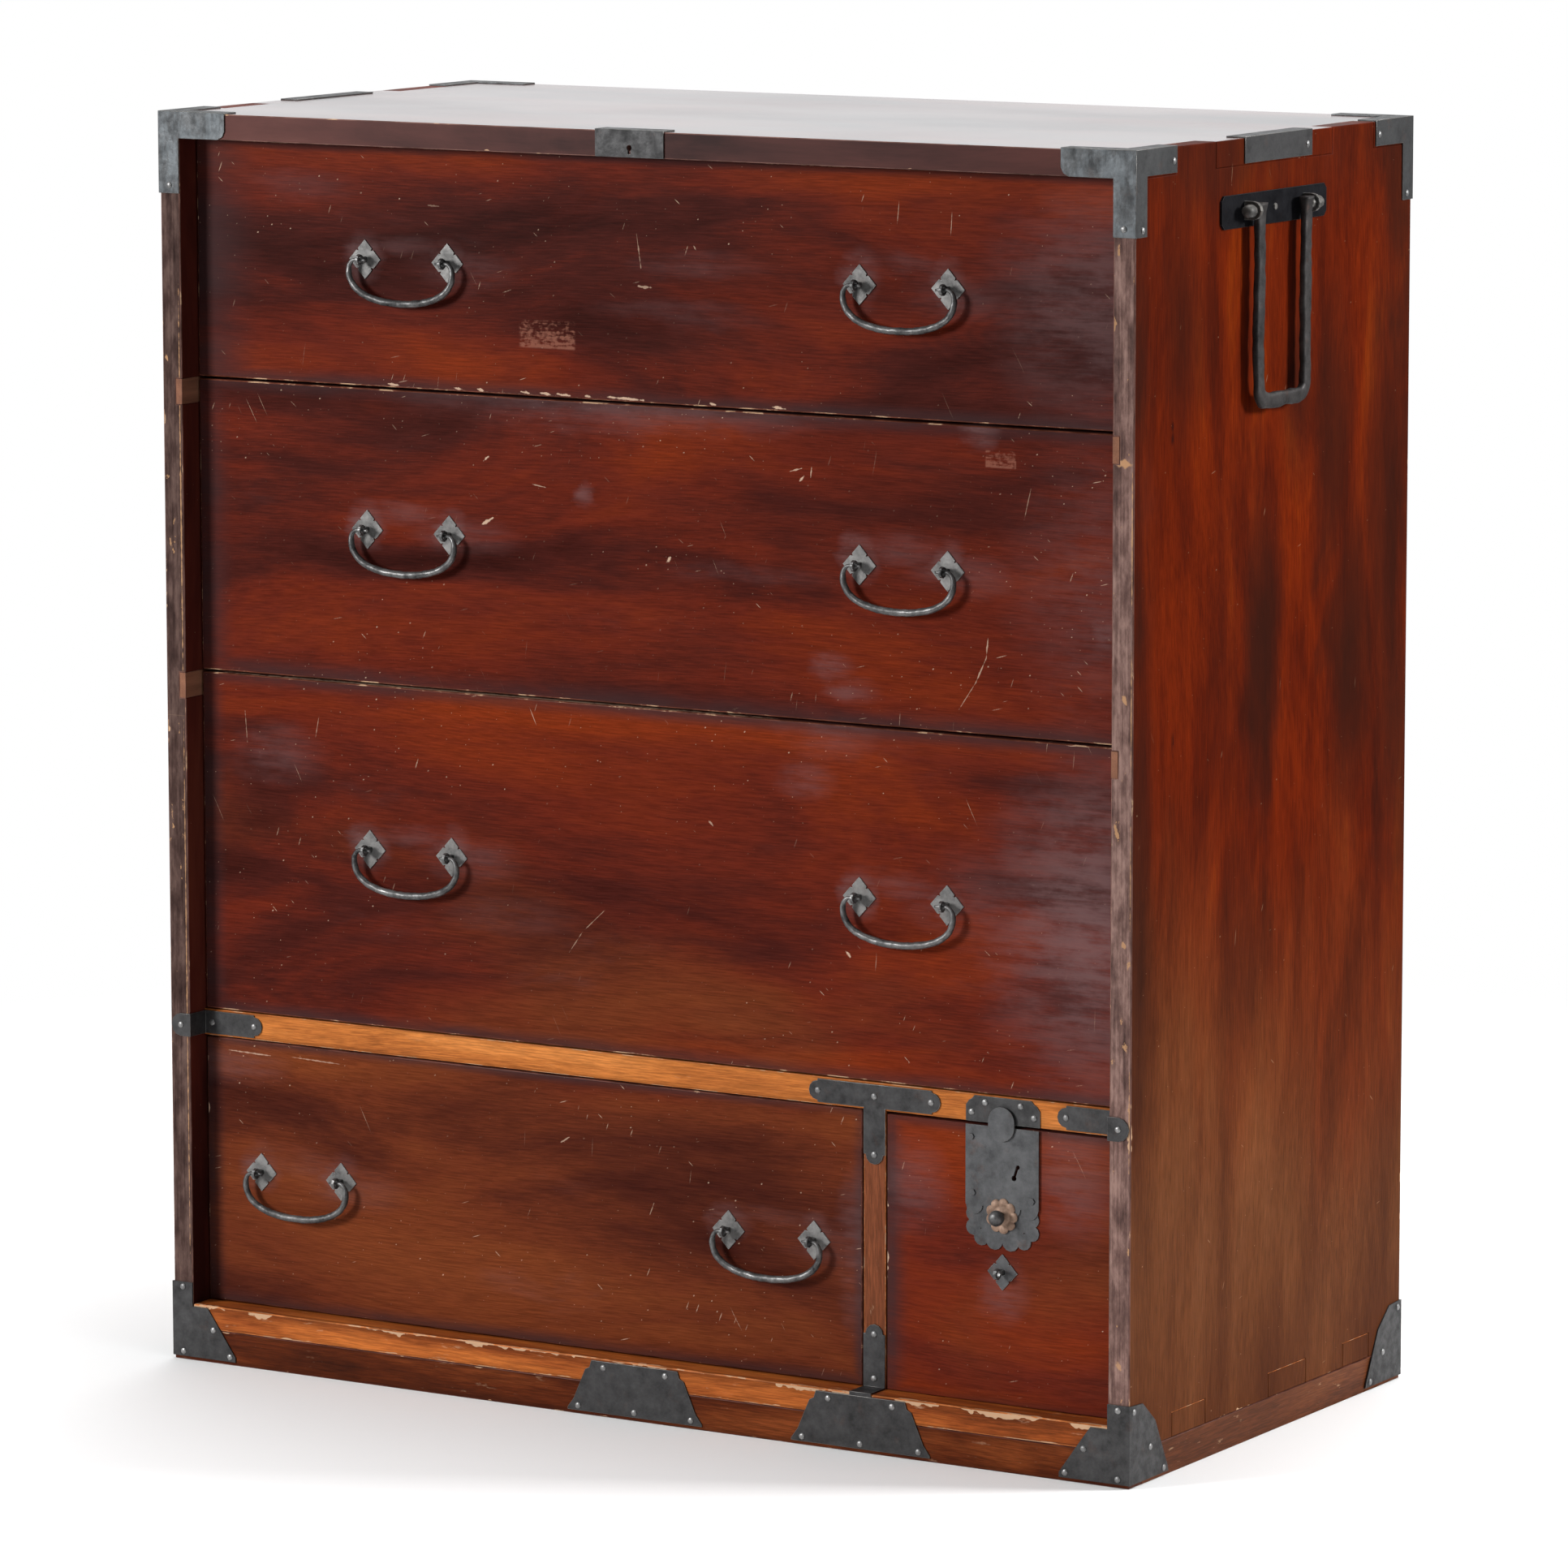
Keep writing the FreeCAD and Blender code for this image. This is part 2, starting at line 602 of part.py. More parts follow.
def drawer(name, x, foot, head, box_head, bail_places, bail_rise, lock_slot=False):
    """A drawer between two sides, with its foot on a divider and its bails a rise above the front's middle."""
    low, high = f"{x[0]} + side_gap", f"{x[1]} - side_gap"
    front = box(f"{name}_blank", (low, high), (FACE, f"{FACE} + front_thickness"),
                (f"{foot} + front_gap", f"{head} - front_gap"))
    tools = [
        box(f"{name}_rabbet", (f"{low} - overrun", f"{high} + overrun"),
            (f"{FACE} + front_thickness - box_rabbet", f"{FACE} + front_thickness + overrun"),
            (f"{foot} - overrun", f"{foot} + slide_gap + box_bottom")),
    ]
    for place in (low, f"{high} - box_thickness"):
        tools.append(
            box(f"{name}_side_rabbet", (place, f"{place} + box_thickness"),
                (f"{FACE} + front_thickness - box_rabbet", f"{FACE} + front_thickness + overrun"),
                (f"{foot}", f"{box_head}"))
        )
    if lock_slot:
        tools.append(
            box(f"{name}_bolt_slot", ("-top_bolt_width/2 - bolt_gap", "top_bolt_width/2 + bolt_gap"),
                (f"{TOP_BOLT_FACE} - bolt_gap", f"{TOP_BOLT_FACE} + top_bolt_depth + bolt_gap"),
                (f"{head} - front_gap - top_bolt_throw", f"{head} + overrun"))
        )
    level = f"(({foot} + {head})/2 + {bail_rise})"
    pins = [f"({place} {side} bail_spacing/2)" for place in bail_places for side in ("-", "+")]
    holes = [pin_hole(f"{name}_pin_hole", pin, FACE, level, "front_thickness") for pin in pins]
    node(f"{name}_front", cut(f"{name}_front", front, tools + holes))
    boards = drawer_box(name, (low, high), f"{FACE} + front_thickness - box_rabbet",
                        f"{BACK_PANEL_FACE} - tail_gap", f"{foot} + slide_gap", box_head, "box_thickness", "box_bottom")
    node(f"{name}_box", group(f"{name}_box", boards))
    irons = []
    for pin in pins:
        irons += pull_fittings(f"{name}_iron", pin, FACE, level, "front_thickness",
                               "diamond_width", "diamond_height")
    node(f"{name}_fittings", group(f"{name}_fittings", irons))
    for word, place in zip(("left", "right"), bail_places):
        thing = doc.addObject("Part::Feature", f"{name}_{word}_bail")
        thing.Shape = BAIL
        node(f"{name}_{word}_bail", move(thing, place, f"{FACE} - eye_standoff", level))


def diamond_points(width, height):
    """The outline of a notched diamond about its middle."""
    quarter = DIAMOND_SHARES
    turns = [
        [(a, b) for a, b in quarter[:-1]],
        [(a, -b) for a, b in reversed(quarter[1:])],
        [(-a, -b) for a, b in quarter[:-1]],
        [(-a, b) for a, b in reversed(quarter[1:])],
    ]
    return [(f"{a}*{width}/2", f"{b}*{height}/2") for turn in turns for a, b in turn]


def pin_hole(name, x, face, z, board):
    """The square awl hole for a split pin, from in front of a face to behind the board."""
    reach = "(pin_width/2 + pin_hole_gap)"
    return box(name, (f"{x} - {reach}", f"{x} + {reach}"), (f"{face} - overrun", f"{face} + {board} + overrun"),
               (f"{z} - {reach}", f"{z} + {reach}"))


def pull_fittings(name, x, face, z, board, width, height):
    """A diamond backplate, and the split pin whose eye stands in front and whose legs clinch behind."""
    plate = sheet_plate(f"{name}_plate", "XZ_Plane", diamond_points(width, height), "plate_thin", x, face, z)
    hole = pin_hole(f"{name}_hole", x, face, z, board)
    across = f"{x} - eye_width/2"
    eye = f"({face} - eye_standoff)"
    band = prism(f"{name}_eye", "eye_side_count", "eye_radius + eye_wall", "eye_width", "x", across, eye, z)
    crown = bearing(f"{name}_crown", "eye_radius + eye_wall", "eye_width", "x", V(0, -1, 0), across, eye, z)
    bore = prism(f"{name}_bore", "eye_side_count", "eye_radius", "eye_width + 2*overrun", "x",
                 f"{across} - overrun", eye, z)
    behind = f"({face} + {board})"
    shank = box(f"{name}_shank", (f"{x} - pin_width/2", f"{x} + pin_width/2"),
                (f"{eye} + eye_radius + eye_wall/2", f"{behind} + pin_leg"),
                (f"{z} - pin_width/2", f"{z} + pin_width/2"))
    legs = box(f"{name}_legs", (f"{x} - pin_width/2", f"{x} + pin_width/2"),
               (behind, f"{behind} + pin_leg"), (f"{z} - pin_splay", f"{z} + pin_splay"))
    loop = cut(f"{name}_loop", joined(f"{name}_round", [band, crown]), [bore])
    pin = joined(f"{name}_pin", [loop, shank, legs])
    return [cut(f"{name}_holed", plate, [hole]), pin]


def bail_stations():
    """Places along the middle of a bail, with the radius there, from one tip through the eyes to the other."""
    half = SIZES["bail_width"] / 2 - SIZES["bail_end_radius"]
    pin = SIZES["bail_spacing"] / 2
    thin, full = SIZES["bail_end_radius"], SIZES["bail_middle_radius"]
    shoulder = SIZES["bail_shoulder"]
    fullness = SIZES["bail_fullness_share"]
    count = SIZES["bail_station_count"]
    bow = []
    for k in range(count + 1):
        turn = math.pi * k / count
        across = -math.copysign(abs(math.cos(turn)) ** fullness, math.cos(turn))
        down = math.sin(turn) ** fullness
        place = V(half * across, 0, -shoulder - (SIZES["bail_drop"] - shoulder) * down)
        bow.append((place, thin + (full - thin) * down))
    outside = pin + SIZES["eye_width"]
    bend = V(-(half + outside) / 2, 0, -(half - outside) * (1 - math.sqrt(0.5)))
    entry = [(V(-pin + SIZES["bail_tip"], 0, 0), thin), (V(-outside, 0, 0), thin), (bend, thin)]
    leave = [(V(-place.x, 0, place.z), radius) for place, radius in reversed(entry)]
    return entry + bow + leave


def bail_shape():
    """A forged bail as a loft through flat-sided sections: thin in the eyes and full in the middle."""
    stations = bail_stations()
    sides = SIZES["bail_side_count"]
    sections = []
    for k, (place, radius) in enumerate(stations):
        ahead = stations[min(k + 1, len(stations) - 1)][0] - stations[max(k - 1, 0)][0]
        ahead.normalize()
        across = ahead.cross(V(0, 1, 0))
        turns = [math.tau * j / sides for j in range(sides)]
        corners = [
            place + V(0, 1, 0) * (radius * math.cos(turn)) + across * (radius * math.sin(turn)) for turn in turns
        ]
        sections.append(Part.makePolygon(corners + corners[:1]))
    return Part.makeLoft(sections, True, True)


BAIL = bail_shape()


# Locks
def top_lock():
    y = (f"{FACE} + stop_gap + joint_gap", f"{FACE} + stop_gap + top_case_depth - joint_gap")
    z = (HEAD, f"{HEAD} + top_case_height - joint_gap")
    blank = box("top_lock_blank", ("-top_case_width/2 + joint_gap", "top_case_width/2 - joint_gap"), y, z)
    way = box(
        "top_bolt_way",
        ("-top_bolt_width/2 - bolt_gap", "top_bolt_width/2 + bolt_gap"),
        (f"{TOP_BOLT_FACE} - bolt_gap", f"{TOP_BOLT_FACE} + top_bolt_depth + bolt_gap"),
        (f"{HEAD} - overrun", f"{HEAD} + top_case_height - 2*bolt_gap - joint_gap"),
    )
    hole_z = f"({HEAD} + top_case_height*top_keyhole_share)"
    keyway = prism("top_case_keyway", "eye_side_count", "top_keyhole_radius", "top_case_depth/2", "y",
                   "0", FACE, hole_z)
    node("top_lock_case", cut("top_lock_case", blank, [way, keyway]))
    bolt = box(
        "top_lock_bolt",
        ("-top_bolt_width/2", "top_bolt_width/2"),
        (TOP_BOLT_FACE, f"{TOP_BOLT_FACE} + top_bolt_depth"),
        (f"{HEAD} + bolt_gap", f"{HEAD} + top_case_height - joint_gap - 4*bolt_gap"),
    )
    node("top_lock_bolt", bolt)
    across = ("-top_lock_width/2", "top_lock_width/2")
    front = box("top_lock_front", across, (f"{FRONT} - iron", FRONT), (f"{HEAD} + joint_gap", f"{CROWN} + iron"))
    fold = box("top_lock_fold", across, (f"{FRONT} - iron", f"{FRONT} + edge_plate_fold"), (CROWN, f"{CROWN} + iron"))
    hole = prism("top_keyhole", "eye_side_count", "top_keyhole_radius", "2*overrun", "y",
                 "0", f"{FRONT} - overrun", hole_z)
    slot = box("top_keyslot", ("-top_keyhole_radius/2", "top_keyhole_radius/2"),
               (f"{FRONT} - overrun", f"{FRONT} + overrun"), (f"{hole_z} - top_keyhole_slot", hole_z))
    node("top_lock_plate", cut("top_lock_plate", joined("top_lock_sheet", [front, fold]), [hole, slot]))


def keyhole_tools(name, front, reach):
    """An S-shaped keyhole: two round ends joined by a slanted slot."""
    top, foot = f"{KEY_Z} + keyhole_length/2", f"{KEY_Z} - keyhole_length/2"
    sides = "eye_side_count"
    upper = prism(f"{name}_upper", sides, "keyhole_upper_radius", reach, "y", f"{KEY_X} + keyhole_slot", front, top)
    lower = prism(f"{name}_lower", sides, "keyhole_lower_radius", reach, "y", f"{KEY_X} - keyhole_slot/2", front, foot)
    slot = doc.addObject("Part::Box", f"{name}_slot")
    slot.Placement.Rotation = FreeCAD.Rotation(V(0, 1, 0), SIZES["keyhole_slant_degrees"])
    bind(slot, Length="keyhole_slot", Width=reach, Height="keyhole_length")
    move(slot, f"{KEY_X} - keyhole_slot", front, foot)
    return [upper, lower, slot]


def door():
    """A panel that stands on two pegs and rolls forwards on its rounded bottom edge."""
    blank = box("door_blank", (DOOR_LEFT, DOOR_RIGHT), (FACE, DOOR_BACK), (DOOR_FOOT, DOOR_HEAD))
    edge = box("door_edge", (f"{DOOR_LEFT} - overrun", f"{DOOR_RIGHT} + overrun"),
               (f"{FACE} - overrun", f"{FACE} + door_edge_radius"),
               (f"{DOOR_FOOT} - overrun", f"{DOOR_FOOT} + door_edge_radius"))
    roll = rod("door_roll", "door_edge_radius", f"{DOOR_RIGHT} - {DOOR_LEFT}", "x",
               DOOR_LEFT, f"{FACE} + door_edge_radius", f"{DOOR_FOOT} + door_edge_radius")
    through = "door_thickness + 2*overrun"
    spindle = prism("door_spindle_hole", "eye_side_count", "spindle_radius + spindle_way", through, "y",
                    DOOR_MIDDLE, f"{FACE} - overrun", KNOB_Z)
    pull = pin_hole("door_pull_hole", DOOR_MIDDLE, FACE, f"{DOOR_HEAD} - door_pull_drop", "door_thickness")
    slab = joined("door_slab", [cut("door_squared", blank, [edge]), roll])
    board = cut("door_board", slab, [spindle, pull] + keyhole_tools("door_key", f"{FACE} - overrun", through))
    pegs = []
    for x in PEG_PLACES:
        pegs.append(
            box("door_peg", (f"{x} - peg_width/2", f"{x} + peg_width/2"),
                (f"{FACE} + peg_setback", f"{FACE} + peg_setback + peg_depth"),
                (f"{LEDGE} - peg_length + peg_slot_gap", DOOR_FOOT))
        )
    node("door_panel", group("door_panel", [board] + pegs))


def lock_plates():
    """A scalloped skirt plate, the upper plate with its cusped foot, the oval cover and three nails."""
    half = "lock_width/2"
    sides = "round_side_count"
    upper_foot = f"({DOOR_HEAD} - lock_height + lock_skirt)"
    back_y = (f"{FACE} - plate_thin", FACE)
    lobes = []
    for across, down, round_share in SKIRT_SHARES:
        for side in ("-", "+"):
            x = f"{DOOR_MIDDLE} {side} {across}*{half}"
            z = f"{upper_foot} - {down}*lock_skirt"
            lobes.append(prism("lock_lobe", sides, f"{round_share}*{half}", "plate_thin", "-y", x, FACE, z))
    cores = []
    for across, down in ((SKIRT_SHARES[0][0], SKIRT_SHARES[1][1]), (SKIRT_SHARES[2][0], SKIRT_SHARES[-1][1])):
        x = (f"{DOOR_MIDDLE} - {across}*{half}", f"{DOOR_MIDDLE} + {across}*{half}")
        cores.append(box("lock_core", x, back_y, (f"{upper_foot} - {down}*lock_skirt", DOOR_HEAD)))
    lower = cut("lock_lower_plate", joined("lock_lower", cores + lobes), plate_holes("lower"))
    sheet_x = (f"{DOOR_MIDDLE} - {half}", f"{DOOR_MIDDLE} + {half}")
    body = box("lock_upper_sheet", sheet_x, (PLATE_FRONT, back_y[0]), (upper_foot, DOOR_HEAD))
    cusps = [
        prism("lock_cusp", sides, "lock_cusp_radius", "plate_thin", "-y",
              f"{DOOR_MIDDLE} + {share}*{half}", back_y[0], upper_foot)
        for share in CUSP_SHARES
    ]
    upper = cut("lock_upper_plate", joined("lock_upper", [body] + cusps), plate_holes("upper"))
    nails = [
        nail("lock_nail", "-y", f"{DOOR_MIDDLE} + {across}*{half}", PLATE_FRONT, f"{DOOR_HEAD} - {down}*lock_height")
        for across, down in LOCK_NAIL_SHARES
    ]
    node("lock_plate", group("lock_plate", [lower, upper, cover_plate()] + nails))


def plate_holes(name):
    """The spindle's hole and the keyhole, through either of the lock's plates."""
    spindle = prism(f"{name}_spindle_hole", "eye_side_count", "spindle_radius + spindle_way", "4*overrun", "y",
                    DOOR_MIDDLE, f"{FACE} - 2*overrun", KNOB_Z)
    return [spindle] + keyhole_tools(f"{name}_plate_key", f"{FACE} - overrun", "2*overrun")


def cover_plate():
    """The oval cover riveted to the lock plate, which laps over the strike plate."""
    radius = "cover_width/2"
    reach = "(cover_height - cover_width)/2"
    z = f"({RAIL_FOOT} + cover_gap)"
    parts = [
        box("cover_middle", (f"{DOOR_MIDDLE} - {radius}", f"{DOOR_MIDDLE} + {radius}"),
            (f"{PLATE_FRONT} - cover_thickness", PLATE_FRONT), (f"{z} - {reach}", f"{z} + {reach}")),
    ]
    for side in ("+", "-"):
        parts.append(prism("cover_end", "2*round_side_count", radius, "cover_thickness", "-y",
                           DOOR_MIDDLE, PLATE_FRONT, f"{z} {side} {reach}"))
    return joined("lock_cover", parts)


def round_outline(sides, radius, rise):
    """The corners of a regular outline with its middle at a rise above the origin."""
    turns = [math.tau * k / sides for k in range(sides)]
    return [(f"{math.cos(turn):.5f}*({radius})", f"{rise} + {math.sin(turn):.5f}*({radius})") for turn in turns]


def rosette():
    """A round boss with a ring of petals, patterned about its middle."""
    body = doc.addObject("PartDesign::Body", "lock_rosette")
    sides = SIZES["round_side_count"]
    disc = "(rosette_radius - rosette_petal_radius)"
    for name, count, radius, rise, thickness in (
        ("disc", 2 * sides, disc, "0", "rosette_thickness"),
        ("petal", sides, "rosette_petal_radius", disc, "rosette_thickness"),
        ("boss", 2 * sides, "rosette_boss_radius", "0", "rosette_thickness + rosette_boss_height"),
    ):
        pad = body.newObject("PartDesign::Pad", f"{name}_pad")
        pad.Profile = outline_sketch(body, "XZ_Plane", round_outline(count, radius, rise), f"{name}_outline")
        bind(pad, Length=thickness)
        if name == "petal":
            pattern = body.newObject("PartDesign::PolarPattern", "petals")
            pattern.Originals = [pad]
            pattern.Axis = (pad.Profile[0], ["N_Axis"])
            pattern.Angle = 360
            pattern.Occurrences = SIZES["rosette_petal_count"]
            body.Tip = pattern
    bore = body.newObject("PartDesign::Pocket", "bore")
    opening = round_outline(sides, "knob_neck_radius + knob_gap", "0")
    bore.Profile = outline_sketch(body, "XZ_Plane", opening, "bore_outline")
    bore.Type = "ThroughAll"
    bore.Reversed = True
    bore.Midplane = True
    body.Tip = bore
    move(body, DOOR_MIDDLE, PLATE_FRONT, KNOB_Z)
    node("lock_rosette", body)


def lock_works():
    neck = "(rosette_thickness + rosette_boss_height + knob_neck_length)"
    sides = "round_side_count"
    profile = [(f"{along}*knob_height", f"{out}*knob_radius") for along, out in KNOB_SHARES]
    head = turned("knob_head", sides, profile, "-y", DOOR_MIDDLE, f"{PLATE_FRONT} - {neck}", KNOB_Z)
    stem = prism("knob_neck", sides, "knob_neck_radius", f"{neck} - knob_gap", "-y",
                 DOOR_MIDDLE, f"{PLATE_FRONT} - knob_gap", KNOB_Z)
    inside = f"{DOOR_BACK} + case_lock_depth - case_lock_wall - bolt_gap"
    spindle = prism("knob_spindle", sides, "spindle_radius", f"({inside}) - ({PLATE_FRONT} - knob_gap)", "y",
                    DOOR_MIDDLE, f"{PLATE_FRONT} - knob_gap", KNOB_Z)
    journal = bearing("knob_journal", "spindle_radius", "case_lock_wall", "y", V(0, 0, -1),
                      DOOR_MIDDLE, DOOR_BACK, KNOB_Z)
    cam_face = f"{BOLT_FACE} + bolt_thickness + 2*bolt_gap"
    cam = prism("knob_cam", sides, "cam_radius", "cam_thickness", "y", DOOR_MIDDLE, cam_face, KNOB_Z)
    node("lock_knob", joined("lock_knob", [head, stem, spindle, journal, cam]))
    low = f"({DOOR_HEAD} - joint_gap - case_lock_height)"
    x = (f"{DOOR_MIDDLE} - case_lock_width/2", f"{DOOR_MIDDLE} + case_lock_width/2")
    y = (DOOR_BACK, f"{DOOR_BACK} + case_lock_depth")
    shell = box("case_shell", x, y, (low, f"{DOOR_HEAD} - joint_gap"))
    wall = "case_lock_wall"
    hollow = box("case_hollow", (f"{x[0]} + {wall}", f"{x[1]} - {wall}"), (f"{y[0]} + {wall}", f"{y[1]} - {wall}"),
                 (f"{low} + {wall}", f"{DOOR_HEAD} - joint_gap - {wall}"))
    bolt_x = (f"{DOOR_MIDDLE} - bolt_width/2", f"{DOOR_MIDDLE} + bolt_width/2")
    bolt_y = (BOLT_FACE, f"{BOLT_FACE} + bolt_thickness")
    gate = box("case_gate", (f"{bolt_x[0]} - bolt_gap", f"{bolt_x[1]} + bolt_gap"),
               (f"{bolt_y[0]} - bolt_gap", f"{bolt_y[1]} + bolt_gap"),
               (f"{DOOR_HEAD} - 2*case_lock_wall", f"{DOOR_HEAD} + overrun"))
    bore = prism("case_bore", sides, "spindle_radius + spindle_way", "case_lock_wall + 2*bolt_gap", "y",
                 DOOR_MIDDLE, f"{DOOR_BACK} - bolt_gap", KNOB_Z)
    key = keyhole_tools("case_key", f"{DOOR_BACK} - bolt_gap", "case_lock_wall + 2*bolt_gap")
    node("lock_case", cut("lock_case", shell, [hollow, gate, bore] + key))
    bolt = box("bolt_bar", bolt_x, bolt_y, (f"{KNOB_Z} + cam_radius + 2*bolt_gap", f"{DOOR_HEAD} - joint_gap"))
    node("lock_bolt", bolt)


def door_pull():
    z = f"({DOOR_HEAD} - door_pull_drop)"
    node("door_pull", group("door_pull", pull_fittings(
        "door_pull_iron", DOOR_MIDDLE, FACE, z, "door_thickness", "door_plate_width", "door_plate_height",
    )))


def strike_plate():
    half, top = "strike_width/2", "strike_height"
    points = mirror_outline([
        (f"{half} - strike_cut", top),
        (f"{half} - strike_cut + strike_step", f"{top} - strike_step"),
        (f"{half} - strike_step", f"{top} - strike_cut/2"),
        (half, f"{top} - strike_cut"),
        (half, "joint_gap"),
    ])
    plate = sheet_plate("strike_sheet", "XZ_Plane", points, "plate_thin", DOOR_MIDDLE, FACE, RAIL_FOOT)
    node("strike_plate", plate)


# Small compartment
def compartment():
    front = f"({DOOR_BACK} + inner_setback)"
    x = (POST_RIGHT, INNER_RIGHT)
    top = f"({LEDGE} + inner_floor_rise)"
    rear = f"{BACK_PANEL_FACE} - joint_gap"
    under = (LEDGE, f"{top} - inner_floor_thickness")
    sill = box("inner_sill", x, (front, f"{front} + inner_sill_depth"), under)
    board = box("inner_board", x, (front, rear), (f"{top} - inner_floor_thickness", top))
    cleats = [
        box("inner_cleat", (low, f"{low} + inner_wall"), (f"{front} + inner_sill_depth", rear), under)
        for low in (x[0], f"{x[1]} - inner_wall")
    ]
    node("inner_floor", group("inner_floor", [sill, board] + cleats))
    middle = f"(({top} + {RAIL_FOOT})/2)"
    shelf = (f"{middle} - inner_shelf_thickness/2", f"{middle} + inner_shelf_thickness/2")
    node("inner_shelf", box("inner_shelf", x, (front, rear), shelf))
    for name, foot, head in (
        ("lower_inner_drawer", top, shelf[0]),
        ("upper_inner_drawer", f"({shelf[1]})", RAIL_FOOT),
    ):
        inner_drawer(name, x, front, foot, head)


def inner_drawer(name, x, front, foot, head):
    low, high = f"{x[0]} + inner_gap", f"{x[1]} - inner_gap"
    face = box(f"{name}_face", (low, high), (front, f"{front} + inner_front_thickness"),
               (f"{foot} + slide_gap", f"{head} - inner_gap"))
    middle_x, middle_z = f"(({low}) + ({high}))/2", f"(({foot}) + ({head}))/2"
    hole = prism(f"{name}_hole", "eye_side_count", "inner_pull_hole", "inner_front_thickness + 2*overrun", "y",
                 middle_x, f"{front} - overrun", middle_z)
    boards = drawer_box(name, (low, high), f"{front} + inner_front_thickness", f"{BACK_PANEL_FACE} - tail_gap",
                        f"{foot} + slide_gap", f"{head} - inner_gap - slide_gap", "inner_wall", "inner_wall")
    node(name, group(name, [cut(f"{name}_board", face, [hole])] + boards))
    stem = prism(f"{name}_stem", "eye_side_count", "inner_pull_stem", "inner_front_thickness + inner_pull_reach", "y",
                 middle_x, f"{front} - inner_pull_reach", middle_z)
    rose = prism(f"{name}_rose", "eye_side_count", "2*inner_pull_knob", "plate_thin", "-y", middle_x, front, middle_z)
    knob = prism(f"{name}_knob", "eye_side_count", "inner_pull_knob", "inner_pull_knob", "-y",
                 middle_x, f"{front} - inner_pull_reach + inner_pull_knob", middle_z)
    node(f"{name}_pull", joined(f"{name}_pull", [rose, stem, knob]))


# Sheet irons on the case
def top_corner_caps():
    corner_x, corner_y, corner_z = f"({RIGHT} + iron)", f"({FRONT} - iron)", f"({CROWN} + iron)"
    front = sheet_plate("cap_front", "XZ_Plane", [
        (corner_x, corner_z),
        (f"{RIGHT} - cap_reach", corner_z),
        (f"{RIGHT} - cap_reach", f"{HEAD} + cap_notch"),
        (f"{RIGHT} - cap_reach + cap_notch/3", f"{HEAD} + cap_notch/3"),
        (f"{RIGHT} - cap_reach + cap_notch", HEAD),
        (INNER_RIGHT, HEAD),
        (INNER_RIGHT, f"{CROWN} - cap_drop"),
        (corner_x, f"{CROWN} - cap_drop"),
    ], "iron", y=FRONT)
    side = sheet_plate("cap_side", "YZ_Plane", [
        (corner_y, corner_z),
        (f"{FRONT} + cap_side_reach", corner_z),
        (f"{FRONT} + cap_side_reach", f"{HEAD} + iron"),
        (f"{FRONT} + side_thickness - 2*iron", f"{HEAD} + iron"),
        (f"{FRONT} + side_thickness - 2*iron", f"{CROWN} - cap_drop"),
        (corner_y, f"{CROWN} - cap_drop"),
    ], "iron", x=RIGHT)
    top = sheet_plate("cap_top", "XY_Plane", [
        (corner_x, corner_y),
        (corner_x, f"{FRONT} + cap_side_reach"),
        (f"{RIGHT} - edge_plate_fold", f"{FRONT} + cap_side_reach"),
        (f"{RIGHT} - edge_plate_fold", f"{FRONT} + edge_plate_fold"),
        (f"{RIGHT} - cap_reach", f"{FRONT} + edge_plate_fold"),
        (f"{RIGHT} - cap_reach", corner_y),
    ], "iron", z=CROWN)
    four_corners("top_corner_caps", joined("corner_cap", [front, side, top]))


def four_corners(name, thing):
    """A piece of the front right corner and its images at the other three."""
    left = mirrored(f"{name}_front_left", thing, V(1, 0, 0))
    back = mirrored(f"{name}_back_right", thing, V(0, 1, 0))
    far = mirrored(f"{name}_back_left", back, V(1, 0, 0))
    node(name, group(name, [thing, left, back, far]))


def top_edge_plates():
    y = ("-edge_plate_length/2", "edge_plate_length/2")
    side = box("edge_side", (RIGHT, f"{RIGHT} + iron"), y, (f"{HEAD} + iron", f"{CROWN} + iron"))
    fold = box("edge_fold", (f"{RIGHT} - edge_plate_fold", f"{RIGHT} + iron"), y, (CROWN, f"{CROWN} + iron"))
    plate = joined("edge_plate", [side, fold])
    node("top_edge_plates", group("top_edge_plates", [plate, mirrored("edge_plate_left", plate, V(1, 0, 0))]))


def base_corner_caps():
    lift = "base_iron_lift"
    front = sheet_plate("foot_cap_front", "XZ_Plane", [
        (f"{RIGHT} + iron", lift),
        (f"{RIGHT} - base_cap_reach", lift),
        (f"{RIGHT} - base_cap_reach", f"{lift} + base_cap_heel"),
        (f"{RIGHT} - base_cap_shoulder", f"{LEDGE} - base_plate_step - 2*base_iron_gap"),
        (f"{RIGHT} - base_cap_shoulder + base_plate_step", f"{LEDGE} - base_iron_gap"),
        (INNER_RIGHT, f"{LEDGE} - base_iron_gap"),
        (INNER_RIGHT, "base_cap_rise"),
        (f"{RIGHT} + iron", "base_cap_rise"),
    ], "iron", y=FRONT)
    side = sheet_plate("foot_cap_side", "YZ_Plane", [
        (f"{FRONT} - iron", lift),
        (f"{FRONT} + base_cap_reach", lift),
        (f"{FRONT} + base_cap_reach - iron", f"{lift} + base_cap_heel"),
        (f"{FRONT} + base_cap_shoulder", f"{LEDGE}"),
        (f"{FRONT} + base_cap_shoulder/2", "base_cap_rise - iron"),
        (f"{FRONT} - iron", "base_cap_rise"),
    ], "iron", x=RIGHT)
    four_corners("base_corner_caps", joined("foot_cap", [front, side]))


